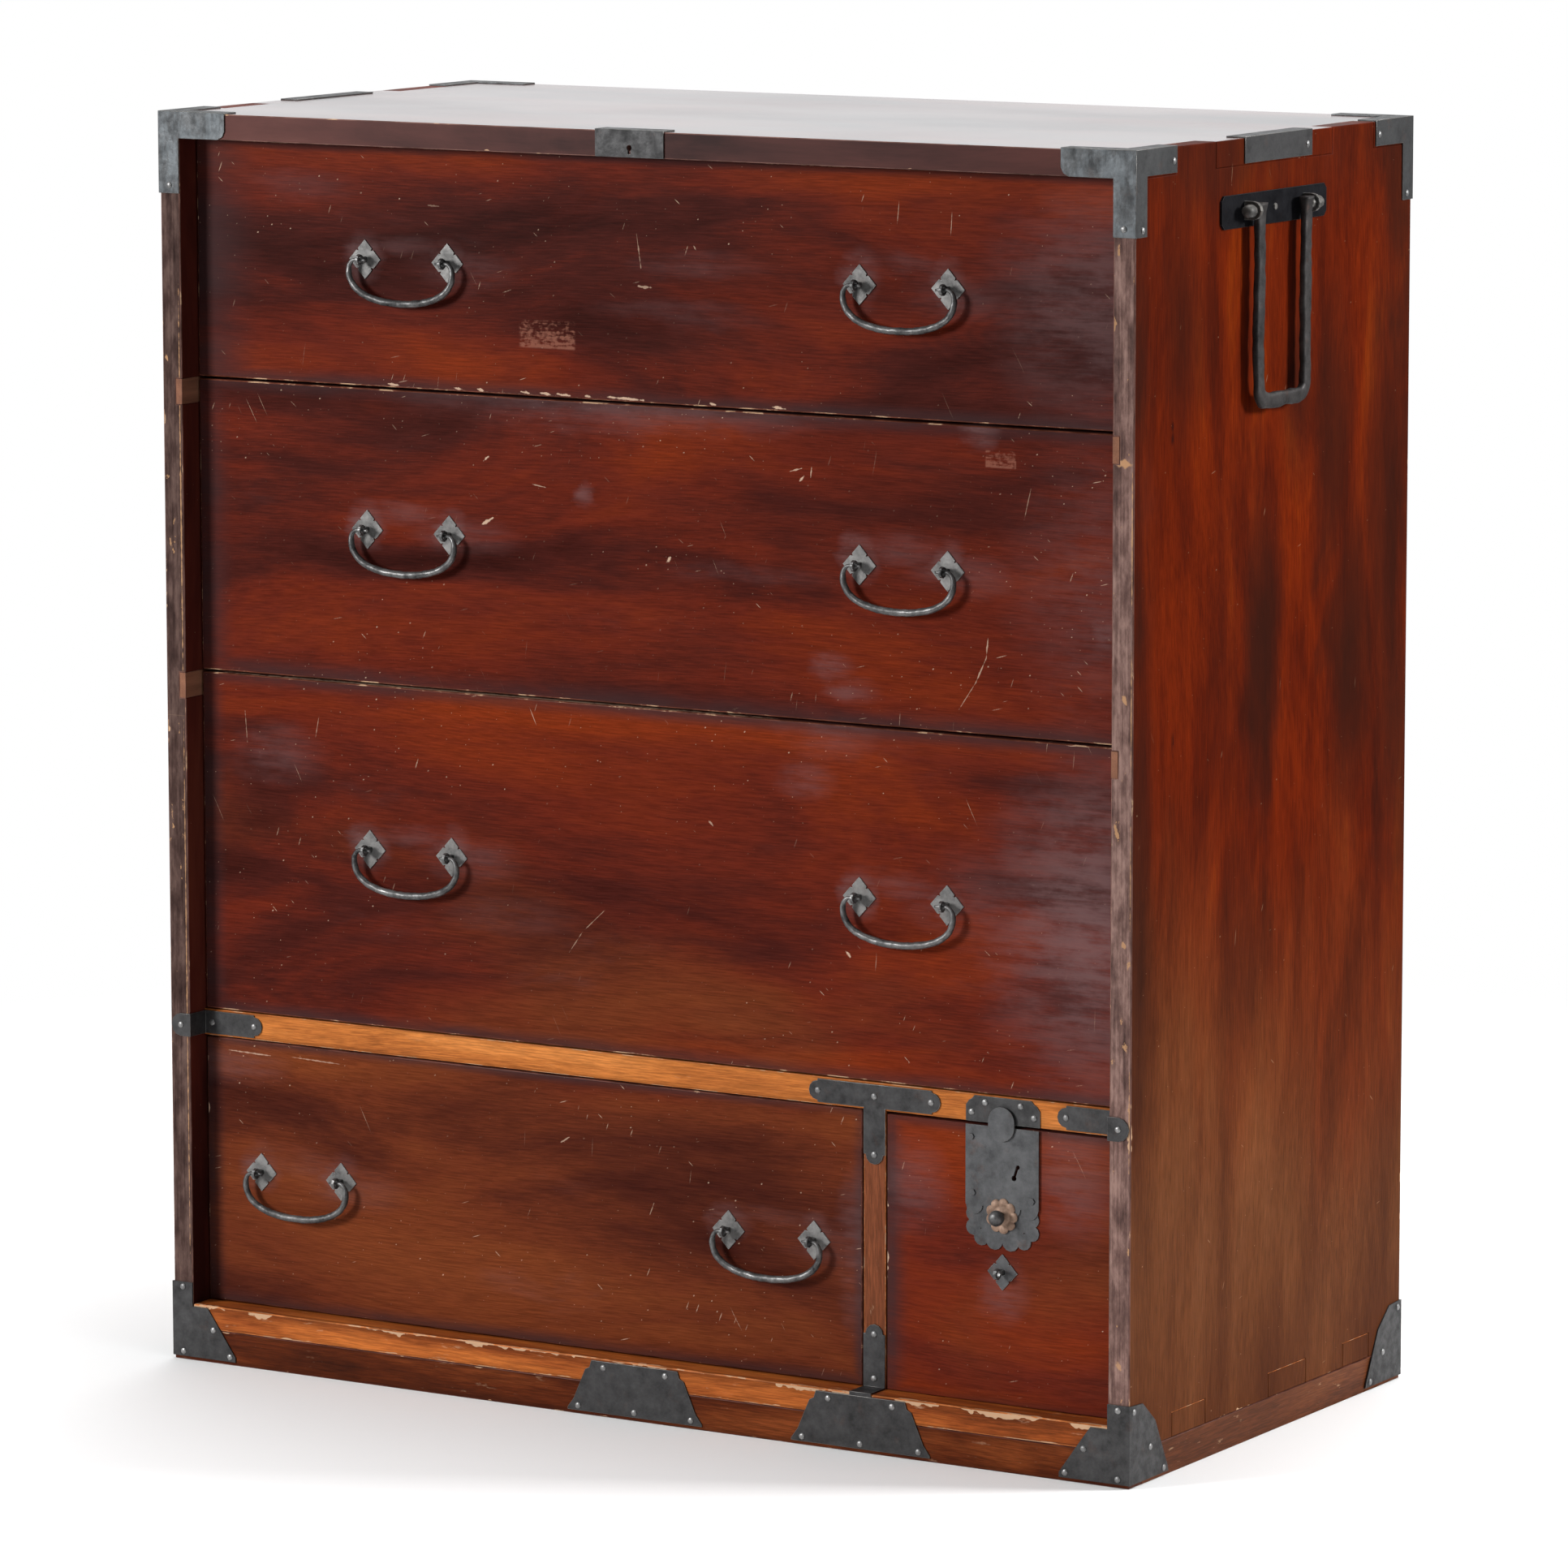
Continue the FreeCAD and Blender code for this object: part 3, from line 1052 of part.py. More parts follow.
def base_plates():
    low, high, step = "base_plate_low/2", "base_plate_high/2", "base_plate_step"
    top = f"({LEDGE} - base_iron_gap)"
    points = mirror_outline([
        (high, top),
        (f"{high} + base_iron_gap", f"{top} - {step}"),
        (f"{high} + {step}", f"{top} - {step} - base_iron_gap"),
        (f"{low} - {step}", f"base_iron_lift + {step} + 2*base_iron_gap"),
        (low, "base_iron_lift + base_iron_gap"),
        (low, "base_iron_lift"),
    ])
    middle = sheet_plate("base_plate_middle", "XZ_Plane", points, "iron", y=FRONT)
    post = sheet_plate("base_plate_post", "XZ_Plane", points, "iron", x=POST, y=FRONT)
    node("base_plates", group("base_plates", [middle, post]))


def rail_straps():
    """The straps at the rail's two ends, which step out round the side's inner face, and the foot strap."""
    middle = f"({RAIL_FOOT} + rail_height/2)"
    z = (f"{middle} - strap_height/2", f"{middle} + strap_height/2")
    end = f"({INNER_RIGHT} - strap_reach)"
    tip = "strap_end_radius"
    on_rail = box("strap_on_rail", (f"{end} + {tip}", INNER_RIGHT), (f"{FACE} - iron", FACE), z)
    sides = "round_side_count"
    lobe = prism("strap_lobe", sides, tip, "iron", "-y", f"{end} + {tip}", FACE, middle)
    step = box("strap_step", (f"{INNER_RIGHT} - iron", INNER_RIGHT), (f"{FRONT} - iron", FACE), z)
    on_edge = box("strap_on_edge", (f"{INNER_RIGHT} - iron", f"{INNER_RIGHT} + side_thickness/2"),
                  (f"{FRONT} - iron", FRONT), z)
    round_end = prism("strap_round_end", sides, "strap_height/2", "iron", "-y",
                      f"{INNER_RIGHT} + side_thickness/2 - iron", FRONT, middle)
    strap = joined("rail_strap", [on_rail, lobe, step, on_edge, round_end])
    width = (f"{POST_LEFT} + joint_gap", f"{POST_RIGHT} - joint_gap")
    upright = box("foot_upright", width, (f"{FACE} - iron", FACE), (LEDGE, f"{LEDGE} + foot_strap_rise - {tip}"))
    round_top = prism("foot_round", sides, tip, "iron", "-y", POST, FACE, f"{LEDGE} + foot_strap_rise - {tip}")
    on_ledge = box("foot_on_ledge", width, (f"{FRONT} - iron", FACE), (LEDGE, f"{LEDGE} + iron"))
    drop = box("foot_drop", width, (f"{FRONT} - iron", FRONT), (f"{LEDGE} - base_iron_gap", f"{LEDGE} + iron"))
    foot = joined("foot_strap", [upright, round_top, on_ledge, drop])
    left = mirrored("rail_strap_left", strap, V(1, 0, 0))
    node("rail_straps", group("rail_straps", [strap, left, foot]))


def tee_plate():
    middle = f"({RAIL_FOOT} + rail_height/2)"
    z = (f"{middle} - strap_height/2", f"{middle} + strap_height/2")
    tip, half, sides = "strap_end_radius", "tee_width/2", "round_side_count"
    y = (f"{FACE} - iron", FACE)
    parts = [box("tee_bar", (f"{POST} - {half} + {tip}", f"{POST} + {half} - {tip}"), y, z)]
    for side in ("-", "+"):
        inset = f"{POST} {side} ({half} - {tip})"
        parts.append(prism("tee_lobe", sides, tip, "iron", "-y", inset, FACE, middle))
    width = (f"{POST_LEFT} + joint_gap", f"{POST_RIGHT} - joint_gap")
    foot = f"({RAIL_FOOT} - tee_leg)"
    parts.append(box("tee_leg", width, y, (f"{foot} + {tip}", z[0])))
    parts.append(prism("tee_foot", sides, tip, "iron", "-y", POST, FACE, f"{foot} + {tip}"))
    node("t_plate", joined("t_plate", parts))


def case_nails():
    """The nail heads that stand on the case's irons."""
    middle = f"({RAIL_FOOT} + rail_height/2)"
    on_face = f"({FACE} - iron)"
    on_front = f"({FRONT} - iron)"
    places = []
    strap_tip = f"({INNER_RIGHT} - strap_reach + strap_end_radius)"
    edge = f"({INNER_RIGHT} + side_thickness/2 - iron)"
    for side in ("", "-"):
        places.append((f"{side}{strap_tip}", on_face, middle))
        places.append((f"{side}({INNER_RIGHT} - strap_end_radius)", on_face, middle))
        places.append((f"{side}{edge}", on_front, middle))
    for share in TEE_NAIL_SHARES:
        places.append((f"{POST} + {share}*tee_width", on_face, middle))
    places.append((POST, on_face, f"{RAIL_FOOT} - tee_leg + strap_end_radius"))
    places.append((POST, on_face, f"{LEDGE} + foot_strap_rise - strap_end_radius"))
    places.append((POST, on_face, f"{LEDGE} + strap_end_radius"))
    on_strike = f"({FACE} - plate_thin)"
    for across, up in STRIKE_NAIL_SHARES:
        places.append((f"{DOOR_MIDDLE} + {across}*strike_width", on_strike, f"{RAIL_FOOT} + {up}*strike_height"))
    for middle_x in ("0", POST):
        for share in BASE_LOW_NAIL_SHARES:
            places.append((f"{middle_x} + {share}*base_plate_low", on_front, "base_iron_lift + 1.5*nail_radius"))
        for share in BASE_HIGH_NAIL_SHARES:
            places.append((f"{middle_x} + {share}*base_plate_high", on_front, f"{LEDGE} - base_plate_step*1.2"))
    heads = [nail("face_nail", "-y", *place) for place in places]
    for side in ("", "-"):
        for inset, up in (("base_cap_reach - 2*nail_radius", "base_iron_lift + 1.5*nail_radius"),
                          ("side_thickness/2", "base_cap_rise - 1.5*nail_radius"),
                          ("side_thickness/2", "base_iron_lift + 1.5*nail_radius"),
                          ("base_cap_shoulder", "base_height"),
                          ("side_thickness/2", f"{CROWN} - cap_drop + 2.5*nail_radius")):
            head = nail("cap_nail", "-y", f"{side}({RIGHT} - ({inset}))", on_front, up)
            heads += [head, mirrored("cap_nail_back", head, V(0, 1, 0))]
    side_places = []
    for reach, up in (("base_cap_reach - 3*nail_radius", "base_iron_lift + 1.5*nail_radius"),
                      ("2*nail_radius", "base_cap_rise - 2*nail_radius"),
                      ("base_cap_shoulder - 3*nail_radius", "base_height")):
        side_places.append((f"{FRONT} + {reach}", up))
        side_places.append((f"{BACK} - ({reach})", up))
    for reach, up in (("cap_side_reach - 2*nail_radius", f"({HEAD} + {CROWN})/2"),
                      ("side_thickness/2", f"{CROWN} - cap_drop + 2*nail_radius")):
        side_places.append((f"{FRONT} + {reach}", up))
        side_places.append((f"{BACK} - ({reach})", up))
    side_places.append(("edge_plate_length/2 - 3*nail_radius", f"({HEAD} + {CROWN})/2"))
    for y, z in side_places:
        head = nail("side_nail", "x", f"{RIGHT} + iron", y, z)
        heads += [head, mirrored("side_nail_left", head, V(1, 0, 0))]
    node("case_nails", group("case_nails", heads))


# Carrying-pole handles
def pole_plates():
    half, rise, corner = "pole_plate_length/2", "pole_plate_height/2", "pole_plate_corner"
    points = [
        (f"{half} - {corner}", rise), (half, f"{rise} - {corner}"),
        (half, f"-({rise} - {corner})"), (f"{half} - {corner}", f"-{rise}"),
        (f"-({half} - {corner})", f"-{rise}"), (f"-{half}", f"-({rise} - {corner})"),
        (f"-{half}", f"{rise} - {corner}"), (f"-({half} - {corner})", rise),
    ]
    parts = [sheet_plate("pole_sheet", "YZ_Plane", points, "pole_plate_thickness", x=RIGHT, y=POLE_Y, z=POLE_Z)]
    eye_radius = "(pole_pin_radius + pole_pin_gap + pole_eye_wall)"
    bores = []
    for side in ("-", "+"):
        middle = f"({POLE_Y} {side} (pole_handle_width/2 + pole_eye_gap + pole_eye_width/2))"
        y = (f"{middle} - pole_eye_width/2", f"{middle} + pole_eye_width/2")
        parts.append(prism("pole_eye", "round_side_count", eye_radius, "pole_eye_width", "y", POLE_X, y[0], POLE_Z))
        rise = (f"{POLE_Z} - {eye_radius}", f"{POLE_Z} + {eye_radius}")
        parts.append(box("pole_eye_foot", (RIGHT, POLE_X), y, rise))
        through = "pole_eye_width + 2*overrun"
        bores.append(prism("pole_eye_bore", "round_side_count", "pole_pin_radius + pole_pin_gap", through, "y",
                           POLE_X, f"{y[0]} - overrun", POLE_Z))
    parts.append(nail("pole_nail", "x", f"{RIGHT} + pole_plate_thickness", POLE_Y, POLE_Z))
    right = cut("pole_plate", joined("pole_plate_whole", parts), bores)
    node("side_handle_plates", group("side_handle_plates", [right, mirrored("pole_plate_left", right, V(1, 0, 0))]))


def pole_handles():
    """A U of forged bar whose legs turn outwards into the eyes."""
    outer, bar, thick = "pole_handle_width/2", "pole_bar_width", "pole_bar_thickness/2"
    foot, bend, ease = "-(pole_handle_length - pole_bar_width/2)", "pole_bend", "pole_bend/3"
    outline = [
        (outer, f"{bar}/2"), (outer, f"{foot} + {bend}"),
        (f"{outer} - {ease}", f"{foot} + {ease}"), (f"{outer} - {bend}", foot),
        (f"-({outer} - {bend})", foot), (f"-({outer} - {ease})", f"{foot} + {ease}"),
        (f"-{outer}", f"{foot} + {bend}"), (f"-{outer}", f"{bar}/2"),
        (f"-({outer} - {bar})", f"{bar}/2"), (f"-({outer} - {bar})", f"{foot} + {bend}"),
        (f"-({outer} - {bend})", f"{foot} + {bar}"), (f"{outer} - {bend}", f"{foot} + {bar}"),
        (f"{outer} - {bar}", f"{foot} + {bend}"), (f"{outer} - {bar}", f"{bar}/2"),
    ]
    bow = sheet_plate("pole_bow", "YZ_Plane", outline, "pole_bar_thickness",
                      x=f"{POLE_X} - {thick}", y=POLE_Y, z=POLE_Z)
    pins = []
    for side, axis in (("-", "-y"), ("+", "y")):
        start = f"{POLE_Y} {side} pole_handle_width/2"
        pins.append(prism("pole_pin", "round_side_count", "pole_pin_radius", "pole_pin_reach", axis,
                          POLE_X, start, POLE_Z))
        pins.append(bearing("pole_bearing", "pole_pin_radius", "pole_pin_reach", axis, V(0, 0, -1),
                            POLE_X, start, POLE_Z))
    right = node("right_side_handle", joined("right_side_handle", [bow] + pins))
    node("left_side_handle", mirrored("left_side_handle", right, V(1, 0, 0)))


def drawers():
    full = (INNER_LEFT, INNER_RIGHT)
    wide_places = (f"({INNER_LEFT} + bail_inset_wide + bail_shift)",
                   f"({INNER_RIGHT} - bail_inset_wide + bail_shift)")
    drawer("top_drawer", full, UPPER_LINE, HEAD, f"{HEAD} - box_head_gap", wide_places, "bail_rise", lock_slot=True)
    middle_spans = (("second_drawer", LOWER_LINE, UPPER_LINE), ("third_drawer", RAIL_HEAD, LOWER_LINE))
    for name, foot, head in middle_spans:
        drawer(name, full, foot, head, f"{head} - divider_height - box_head_gap", wide_places, "bail_rise")
    low_places = (f"({INNER_LEFT} + bail_inset_low + bail_shift)",
                  f"({POST_LEFT} - bail_inset_low + bail_shift)")
    drawer("bottom_drawer", (INNER_LEFT, POST_LEFT), LEDGE, RAIL_FOOT, f"{RAIL_FOOT} - box_head_gap", low_places,
           "bail_rise_low")


def build():
    top_board()
    side_boards()
    bottom_board()
    base()
    back_panel()
    rails_and_dividers()
    post_and_partition()
    drawers()
    top_lock()
    door()
    lock_plates()
    rosette()
    lock_works()
    door_pull()
    strike_plate()
    compartment()
    top_corner_caps()
    top_edge_plates()
    base_corner_caps()
    base_plates()
    rail_straps()
    tee_plate()
    case_nails()
    pole_plates()
    pole_handles()
    doc.recompute()


def check_and_export():
    for thing in doc.Objects:
        if "Invalid" in thing.State or "Error" in thing.State:
            raise RuntimeError(f"{thing.Label} failed: {thing.State}")
    for thing in NODES:
        if thing.Shape.isNull() or not thing.Shape.isValid():
            raise RuntimeError(f"{thing.Label} has no valid shape")
        if not thing.Shape.Solids:
            raise RuntimeError(f"{thing.Label} has no solid")
    os.makedirs("parts", exist_ok=True)
    for thing in NODES:
        thing.Shape.exportStep(f"parts/{thing.Label}.step")
        print(thing.Label, len(thing.Shape.Solids), round(thing.Shape.Volume))


build()
check_and_export()
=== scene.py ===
import json
import math
import random

import bmesh
import bpy
from mathutils import Matrix, Vector, noise


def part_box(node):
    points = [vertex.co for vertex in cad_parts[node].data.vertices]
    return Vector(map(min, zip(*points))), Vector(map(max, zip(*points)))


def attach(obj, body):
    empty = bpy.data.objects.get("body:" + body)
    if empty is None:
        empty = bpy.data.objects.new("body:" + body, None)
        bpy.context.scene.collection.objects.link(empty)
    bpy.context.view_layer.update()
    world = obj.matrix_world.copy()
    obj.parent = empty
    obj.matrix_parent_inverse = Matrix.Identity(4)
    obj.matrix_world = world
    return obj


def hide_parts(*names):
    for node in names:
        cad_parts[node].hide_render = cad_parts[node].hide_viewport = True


MM = 0.001

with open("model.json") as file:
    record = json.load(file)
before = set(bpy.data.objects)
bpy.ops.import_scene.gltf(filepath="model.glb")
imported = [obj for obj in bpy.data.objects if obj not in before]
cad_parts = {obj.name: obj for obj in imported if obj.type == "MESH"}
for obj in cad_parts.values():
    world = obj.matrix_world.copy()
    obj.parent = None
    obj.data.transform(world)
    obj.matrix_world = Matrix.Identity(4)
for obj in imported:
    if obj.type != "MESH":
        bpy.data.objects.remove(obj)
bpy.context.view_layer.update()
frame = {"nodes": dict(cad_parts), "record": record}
nodes = frame["nodes"]
bodies = {node: body for body, members in frame["record"]["behaviour"]["bodies"].items() for node in members}

# Places that the looks depend on, all read from the frame
case_low, case_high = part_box("top_board")
left_box, right_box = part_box("left_side"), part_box("right_side")
back_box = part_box("back_panel")
inner_right = right_box[0].x
front_plane = case_low.y

# The photograph's camera, fitted to the chest's eight outer corners
CAMERA_PLACE = (3.406, -5.580, 1.472)
CAMERA_YAW = 31.39
CAMERA_PITCH = -8.54
CAMERA_ROLL = -0.07
CAMERA_LENS = 184.66
CAMERA_SENSOR = 36.0

BAIL_TIP_RADIUS = 1.56 * MM
BAIL_HALF_SPAN = 40 * MM
# Half of a bail's middle line, from its tip in the eye to its lowest point, in mm
BAIL_LINE = (
    (-33.6, -0.3), (-40.0, 0.1), (-46.0, -0.3), (-49.4, -4.0), (-50.2, -9.6), (-48.4, -16.6), (-42.8, -23.6),
    (-32.0, -29.4), (-16.5, -33.0), (0.0, -34.0),
)
POLE_BAR_WIDTH = 13.0 * MM
POLE_BAR_THICKNESS = 5.5 * MM
POLE_PIN_REACH = 17.0 * MM
POLE_PIN_RADIUS = 5.2 * MM
POLE_PLATE_THICKNESS = 2.0 * MM
BACK_BOARD_COUNT = 5

FLOOR_RADIUS = 2.0
ROOM_STRENGTH = 0.18
WALL_STRENGTH = 1.02


class Value:
    """A number or colour that a node tree works out at each point, so that sums and products read as such."""

    def __init__(self, nodes, socket):
        self.nodes = nodes
        self.socket = socket

    def __add__(self, other):
        return self.nodes.math("ADD", self, other)

    def __radd__(self, other):
        return self.nodes.math("ADD", other, self)

    def __sub__(self, other):
        return self.nodes.math("SUBTRACT", self, other)

    def __rsub__(self, other):
        return self.nodes.math("SUBTRACT", other, self)

    def __mul__(self, other):
        return self.nodes.math("MULTIPLY", self, other)


class Nodes:
    """The node tree of a material or a world, with one short call for each kind of node."""

    def __init__(self, owner):
        owner.use_nodes = True
        self.tree = owner.node_tree

    def add(self, kind, **settings):
        node = self.tree.nodes.new(kind)
        for name, value in settings.items():
            setattr(node, name, value)
        return node

    def out(self, node, output=0):
        return Value(self, node.outputs[output])

    def feed(self, socket, value):
        if isinstance(value, Value):
            self.tree.links.new(value.socket, socket)
        elif isinstance(value, tuple):
            socket.default_value = (*value, 1.0)
        else:
            socket.default_value = value

    def feed_all(self, node, **values):
        for name, value in values.items():
            self.feed(node.inputs[name.replace("_", " ")], value)

    def split(self, vector):
        node = self.add("ShaderNodeSeparateXYZ")
        self.feed(node.inputs[0], vector)
        return [self.out(node, k) for k in range(3)]

    def math(self, operation, *values, clamp=False):
        node = self.add("ShaderNodeMath", operation=operation, use_clamp=clamp)
        for socket, value in zip(node.inputs, (*values, 0.0, 0.0)):
            self.feed(socket, value)
        return self.out(node)

    def chain(self, operation, values):
        result = values[0]
        for value in values[1:]:
            result = self.math(operation, result, value)
        return result

    def highest(self, *values):
        return self.chain("MAXIMUM", values)

    def lowest(self, *values):
        return self.chain("MINIMUM", values)

    def vector(self, x, y, z):
        node = self.add("ShaderNodeCombineXYZ")
        self.feed_all(node, X=x, Y=y, Z=z)
        return self.out(node)

    def noise(self, place, detail=2.0, roughness=0.5, distortion=0.0):
        node = self.add("ShaderNodeTexNoise")
        self.feed_all(
            node, Vector=place, Scale=1.0, Detail=detail, Roughness=roughness, Distortion=distortion,
        )
        return self.out(node, "Fac")

    def cells(self, u, v):
        """Distance to the nearest of scattered points in a plane, and two random numbers for each point."""
        node = self.add("ShaderNodeTexVoronoi", voronoi_dimensions="2D")
        self.feed_all(node, Vector=self.vector(u, v, 0.0), Scale=1.0)
        split = self.add("ShaderNodeSeparateColor")
        self.feed(split.inputs[0], self.out(node, "Color"))
        return self.out(node, "Distance"), self.out(split, 0), self.out(split, 1)

    def step(self, value, low, high, start=0.0, end=1.0):
        """A smooth step from start to end as the value goes from low to high."""
        node = self.add("ShaderNodeMapRange", interpolation_type="SMOOTHSTEP")
        self.feed_all(node, Value=value, From_Min=low, From_Max=high, To_Min=start, To_Max=end)
        return self.out(node)

    def ramp(self, value, *stops):
        node = self.add("ShaderNodeValToRGB")
        elements = node.color_ramp.elements
        while len(elements) < len(stops):
            elements.new(0.5)
        for element, (place, colour) in zip(elements, stops):
            element.position = place
            element.color = (*colour, 1.0)
        self.feed(node.inputs[0], value)
        return self.out(node)

    def mix(self, share, a, b, blend="MIX"):
        node = self.add("ShaderNodeMix", data_type="RGBA", blend_type=blend)
        for k, value in ((0, share), (6, a), (7, b)):
            self.feed(node.inputs[k], value)
        return self.out(node, 2)


class Surface(Nodes):
    """A new material's nodes, with the place of each point in metres and the way that it faces."""

    def __init__(self, name):
        self.material = bpy.data.materials.new(name)
        super().__init__(self.material)
        self.shader = self.tree.nodes["Principled BSDF"]
        texture = self.add("ShaderNodeTexCoord")
        self.x, self.y, self.z = self.split(self.out(texture, "Object"))
        self.facing = self.split(self.out(texture, "Normal"))

    def grained(self, grain, along, across, seed, detail=2.0, roughness=0.5, distortion=0.0, warp=None):
        """Noise stretched along a grain that runs along X, Y or Z, in cycles per metre, bent by a warp."""
        scaled = []
        for axis, part in zip("xyz", (self.x, self.y, self.z)):
            if warp is not None and axis != grain:
                part = part + warp
            scaled.append(self.math("MULTIPLY_ADD", part, along if axis == grain else across, seed))
        return self.noise(self.vector(*scaled), detail, roughness, distortion)

    def bump(self, height, strength, distance):
        node = self.add("ShaderNodeBump")
        self.feed_all(node, Strength=strength, Distance=distance, Height=height)
        self.feed(self.shader.inputs["Normal"], self.out(node))

    def set(self, **values):
        self.feed_all(self.shader, **values)


def grain_layers(n, grain, seed, waviness=0.05):
    """Smoke, streaks and fibre of a board, each from 0 to 1."""
    bend = n.grained(grain, 1.1, 2.6, seed, detail=2.0)
    warp = (bend - 0.5) * waviness
    smoke = n.grained(grain, 2.6, 9.5, seed + 3.1, detail=6.0, roughness=0.58, distortion=0.7, warp=warp)
    streak = n.grained(grain, 4.2, 40.0, seed + 7.7, detail=5.0, roughness=0.6, distortion=0.35, warp=warp)
    fibre = n.grained(grain, 40.0, 860.0, seed + 1.3, detail=3.0, roughness=0.7, warp=warp)
    return smoke, streak, fibre


def lacquer_tone(n, grain, seed, waviness=0.05, streaky=0.18):
    """The board's figure as one value about 0.5: soft smoke and streaks with a little fibre."""
    smoke, streak, fibre = grain_layers(n, grain, seed, waviness)
    tone = smoke * (0.94 - streaky) + (streak * streaky + fibre * 0.06)
    return tone, streak, fibre


def pored(n, colour, fibre, depth=0.20):
    """The colour with the fine dark and light lines of its fibre."""
    return n.mix(1.0, colour, n.step(fibre, 0.30, 0.70, 1.0 - depth, 1.0 + depth), "MULTIPLY")


def scratch_marks(n, u, v, angle, length, width, spread, share, seed):
    """Scattered marks of one length, width and angle, a share of them kept, in cells a spread larger."""
    turn_cos, turn_sin = math.cos(math.radians(angle)), math.sin(math.radians(angle))
    bow = (n.noise(n.vector(u * 9.0, v * 9.0, seed)) - 0.5) * 0.012
    along = u * turn_cos + v * turn_sin
    across = u * -turn_sin + v * turn_cos + bow
    distance, chance, size = n.cells(
        n.math("MULTIPLY_ADD", along, 1 / (length * spread), seed),
        n.math("MULTIPLY_ADD", across, 1 / (width * spread), seed),
    )
    limit = n.math("MULTIPLY_ADD", size, 0.9, 0.25) * (0.5 / spread)
    mark = n.step(limit - distance, 0.0, 0.25 / spread)
    return mark * n.math("LESS_THAN", chance, share)


def wear_marks(n, u, v, seed, amount=1.0):
    """Dust specks and short scratches at several angles."""
    kinds = (
        (70.0, 9 * MM, 1.0 * MM, 11.0, 0.10), (-40.0, 7 * MM, 0.9 * MM, 12.0, 0.09),
        (15.0, 10 * MM, 0.8 * MM, 12.0, 0.07),
        (84.0, 20 * MM, 0.8 * MM, 10.0, 0.05), (-62.0, 26 * MM, 0.6 * MM, 11.0, 0.05),
        (30.0, 1.9 * MM, 1.3 * MM, 8.0, 0.09),
        (0.0, 1.0 * MM, 0.8 * MM, 9.0, 0.13),
    )
    marks = [scratch_marks(n, u, v, *kind[:4], kind[4] * amount, seed + kind[0] / 7) for kind in kinds]
    return n.highest(*marks)


def edge_distance(n, box, worn):
    """How far a point of a face is from the face's nearest edge. A larger weight draws wear, and painted edge
    shade, further in.
    """
    left, right, bottom, top = worn
    weights = ((left, right), (1.0, 1.0), (bottom, top))
    reaches = []
    for axis, place in enumerate((n.x, n.y, n.z)):
        off_plane = n.step(n.math("ABSOLUTE", n.facing[axis]), 0.6, 0.9)
        for start, sign, weight in (
            (box[0][axis], 1, weights[axis][0]), (box[1][axis], -1, weights[axis][1]),
        ):
            reach = (place - start) * (sign / weight)
            reaches.append(reach + off_plane)
    return n.lowest(*reaches)


def edge_chips(n, grain, edge, seed, low, high, width):
    """Ragged bare places along an edge, between thresholds of a coarse noise, up to a width."""
    ragged = n.grained(grain, 150.0, 260.0, seed, detail=3.0)
    coarse = n.grained(grain, 24.0, 34.0, seed + 2.0, detail=3.0, roughness=0.65)
    depth = n.step(coarse, low, high, 0.0, width)
    rough_depth = depth + (ragged - 0.5) * (width * 0.9)
    chips = n.step(rough_depth - edge, 0.0, 0.4 * MM)
    return chips * n.step(depth, 0.02 * width, 0.3 * width)


def halo(n, across, up, centre, radius_across, radius_up):
    """A soft spot: 1 in its middle and 0 at its rim."""
    u = (across - centre[0]) * (1 / radius_across)
    v = (up - centre[1]) * (1 / radius_up)
    inside = n.math("SUBTRACT", 1.0, u * u + v * v, clamp=True)
    return n.math("POWER", inside, 1.7)


def stroke(n, row, broken):
    """A tapered, broken scratch or chip: x and z of both ends and the width in mm, and the strength."""
    start_x, start_z, end_x, end_z, width = (part * MM for part in row[:5])
    run, rise = end_x - start_x, end_z - start_z
    square = run ** 2 + rise ** 2
    u, v = n.x - start_x, n.z - start_z
    share = n.math("MULTIPLY_ADD", u, run / square, v * (rise / square), clamp=True)
    off_u = u - share * run
    off_v = v - share * rise
    away = n.math("SQRT", off_u * off_u + off_v * off_v)
    taper = share * (1.0 - share) * 1.6
    reach = (taper + 0.35 + (broken - 0.5) * 2.2) * (width * 0.5)
    return n.step(reach - away, 0.0, width * 0.22) * row[5]


def patch(n, centre, size, seed):
    """The trace of a label that was peeled off: fine torn lines, most of it left at the foot."""
    u = n.math("ABSOLUTE", n.x - centre[0])
    v = n.z - centre[1]
    inside = n.step(u, size[0] * 0.46, size[0] * 0.51, 1.0, 0.0) * n.step(
        n.math("ABSOLUTE", v), size[1] * 0.44, size[1] * 0.52, 1.0, 0.0,
    )
    torn = n.grained("x", 90.0, 560.0, seed, detail=3.0, roughness=0.6)
    coarse = n.grained("x", 240.0, 260.0, seed + 2.0, detail=3.0)
    left = torn * 0.5 + coarse * 0.5 + v * (-0.16 / size[1])
    return inside * n.step(left, 0.43, 0.6)


LACQUER_DARK = (0.030, 0.0058, 0.0042)
LACQUER_DEEP = (0.052, 0.0094, 0.0066)
LACQUER_RED = (0.100, 0.0138, 0.0068)
LACQUER_WARM = (0.160, 0.0220, 0.0056)
AGED_DEEP = (0.060, 0.0125, 0.0066)
AGED_RED = (0.106, 0.0225, 0.0088)
AGED_WARM = (0.150, 0.0360, 0.0112)
# Colour of the painted shade along the fronts' edges
EDGE_SHADE_COLOUR = (0.038, 0.0195, 0.0200)
# Colour of the painted sheen that stands in for the fronts' reflections
SHEEN_COLOUR = (0.175, 0.100, 0.100)
MARK = (0.60, 0.410, 0.290)
BARE = (0.52, 0.330, 0.200)


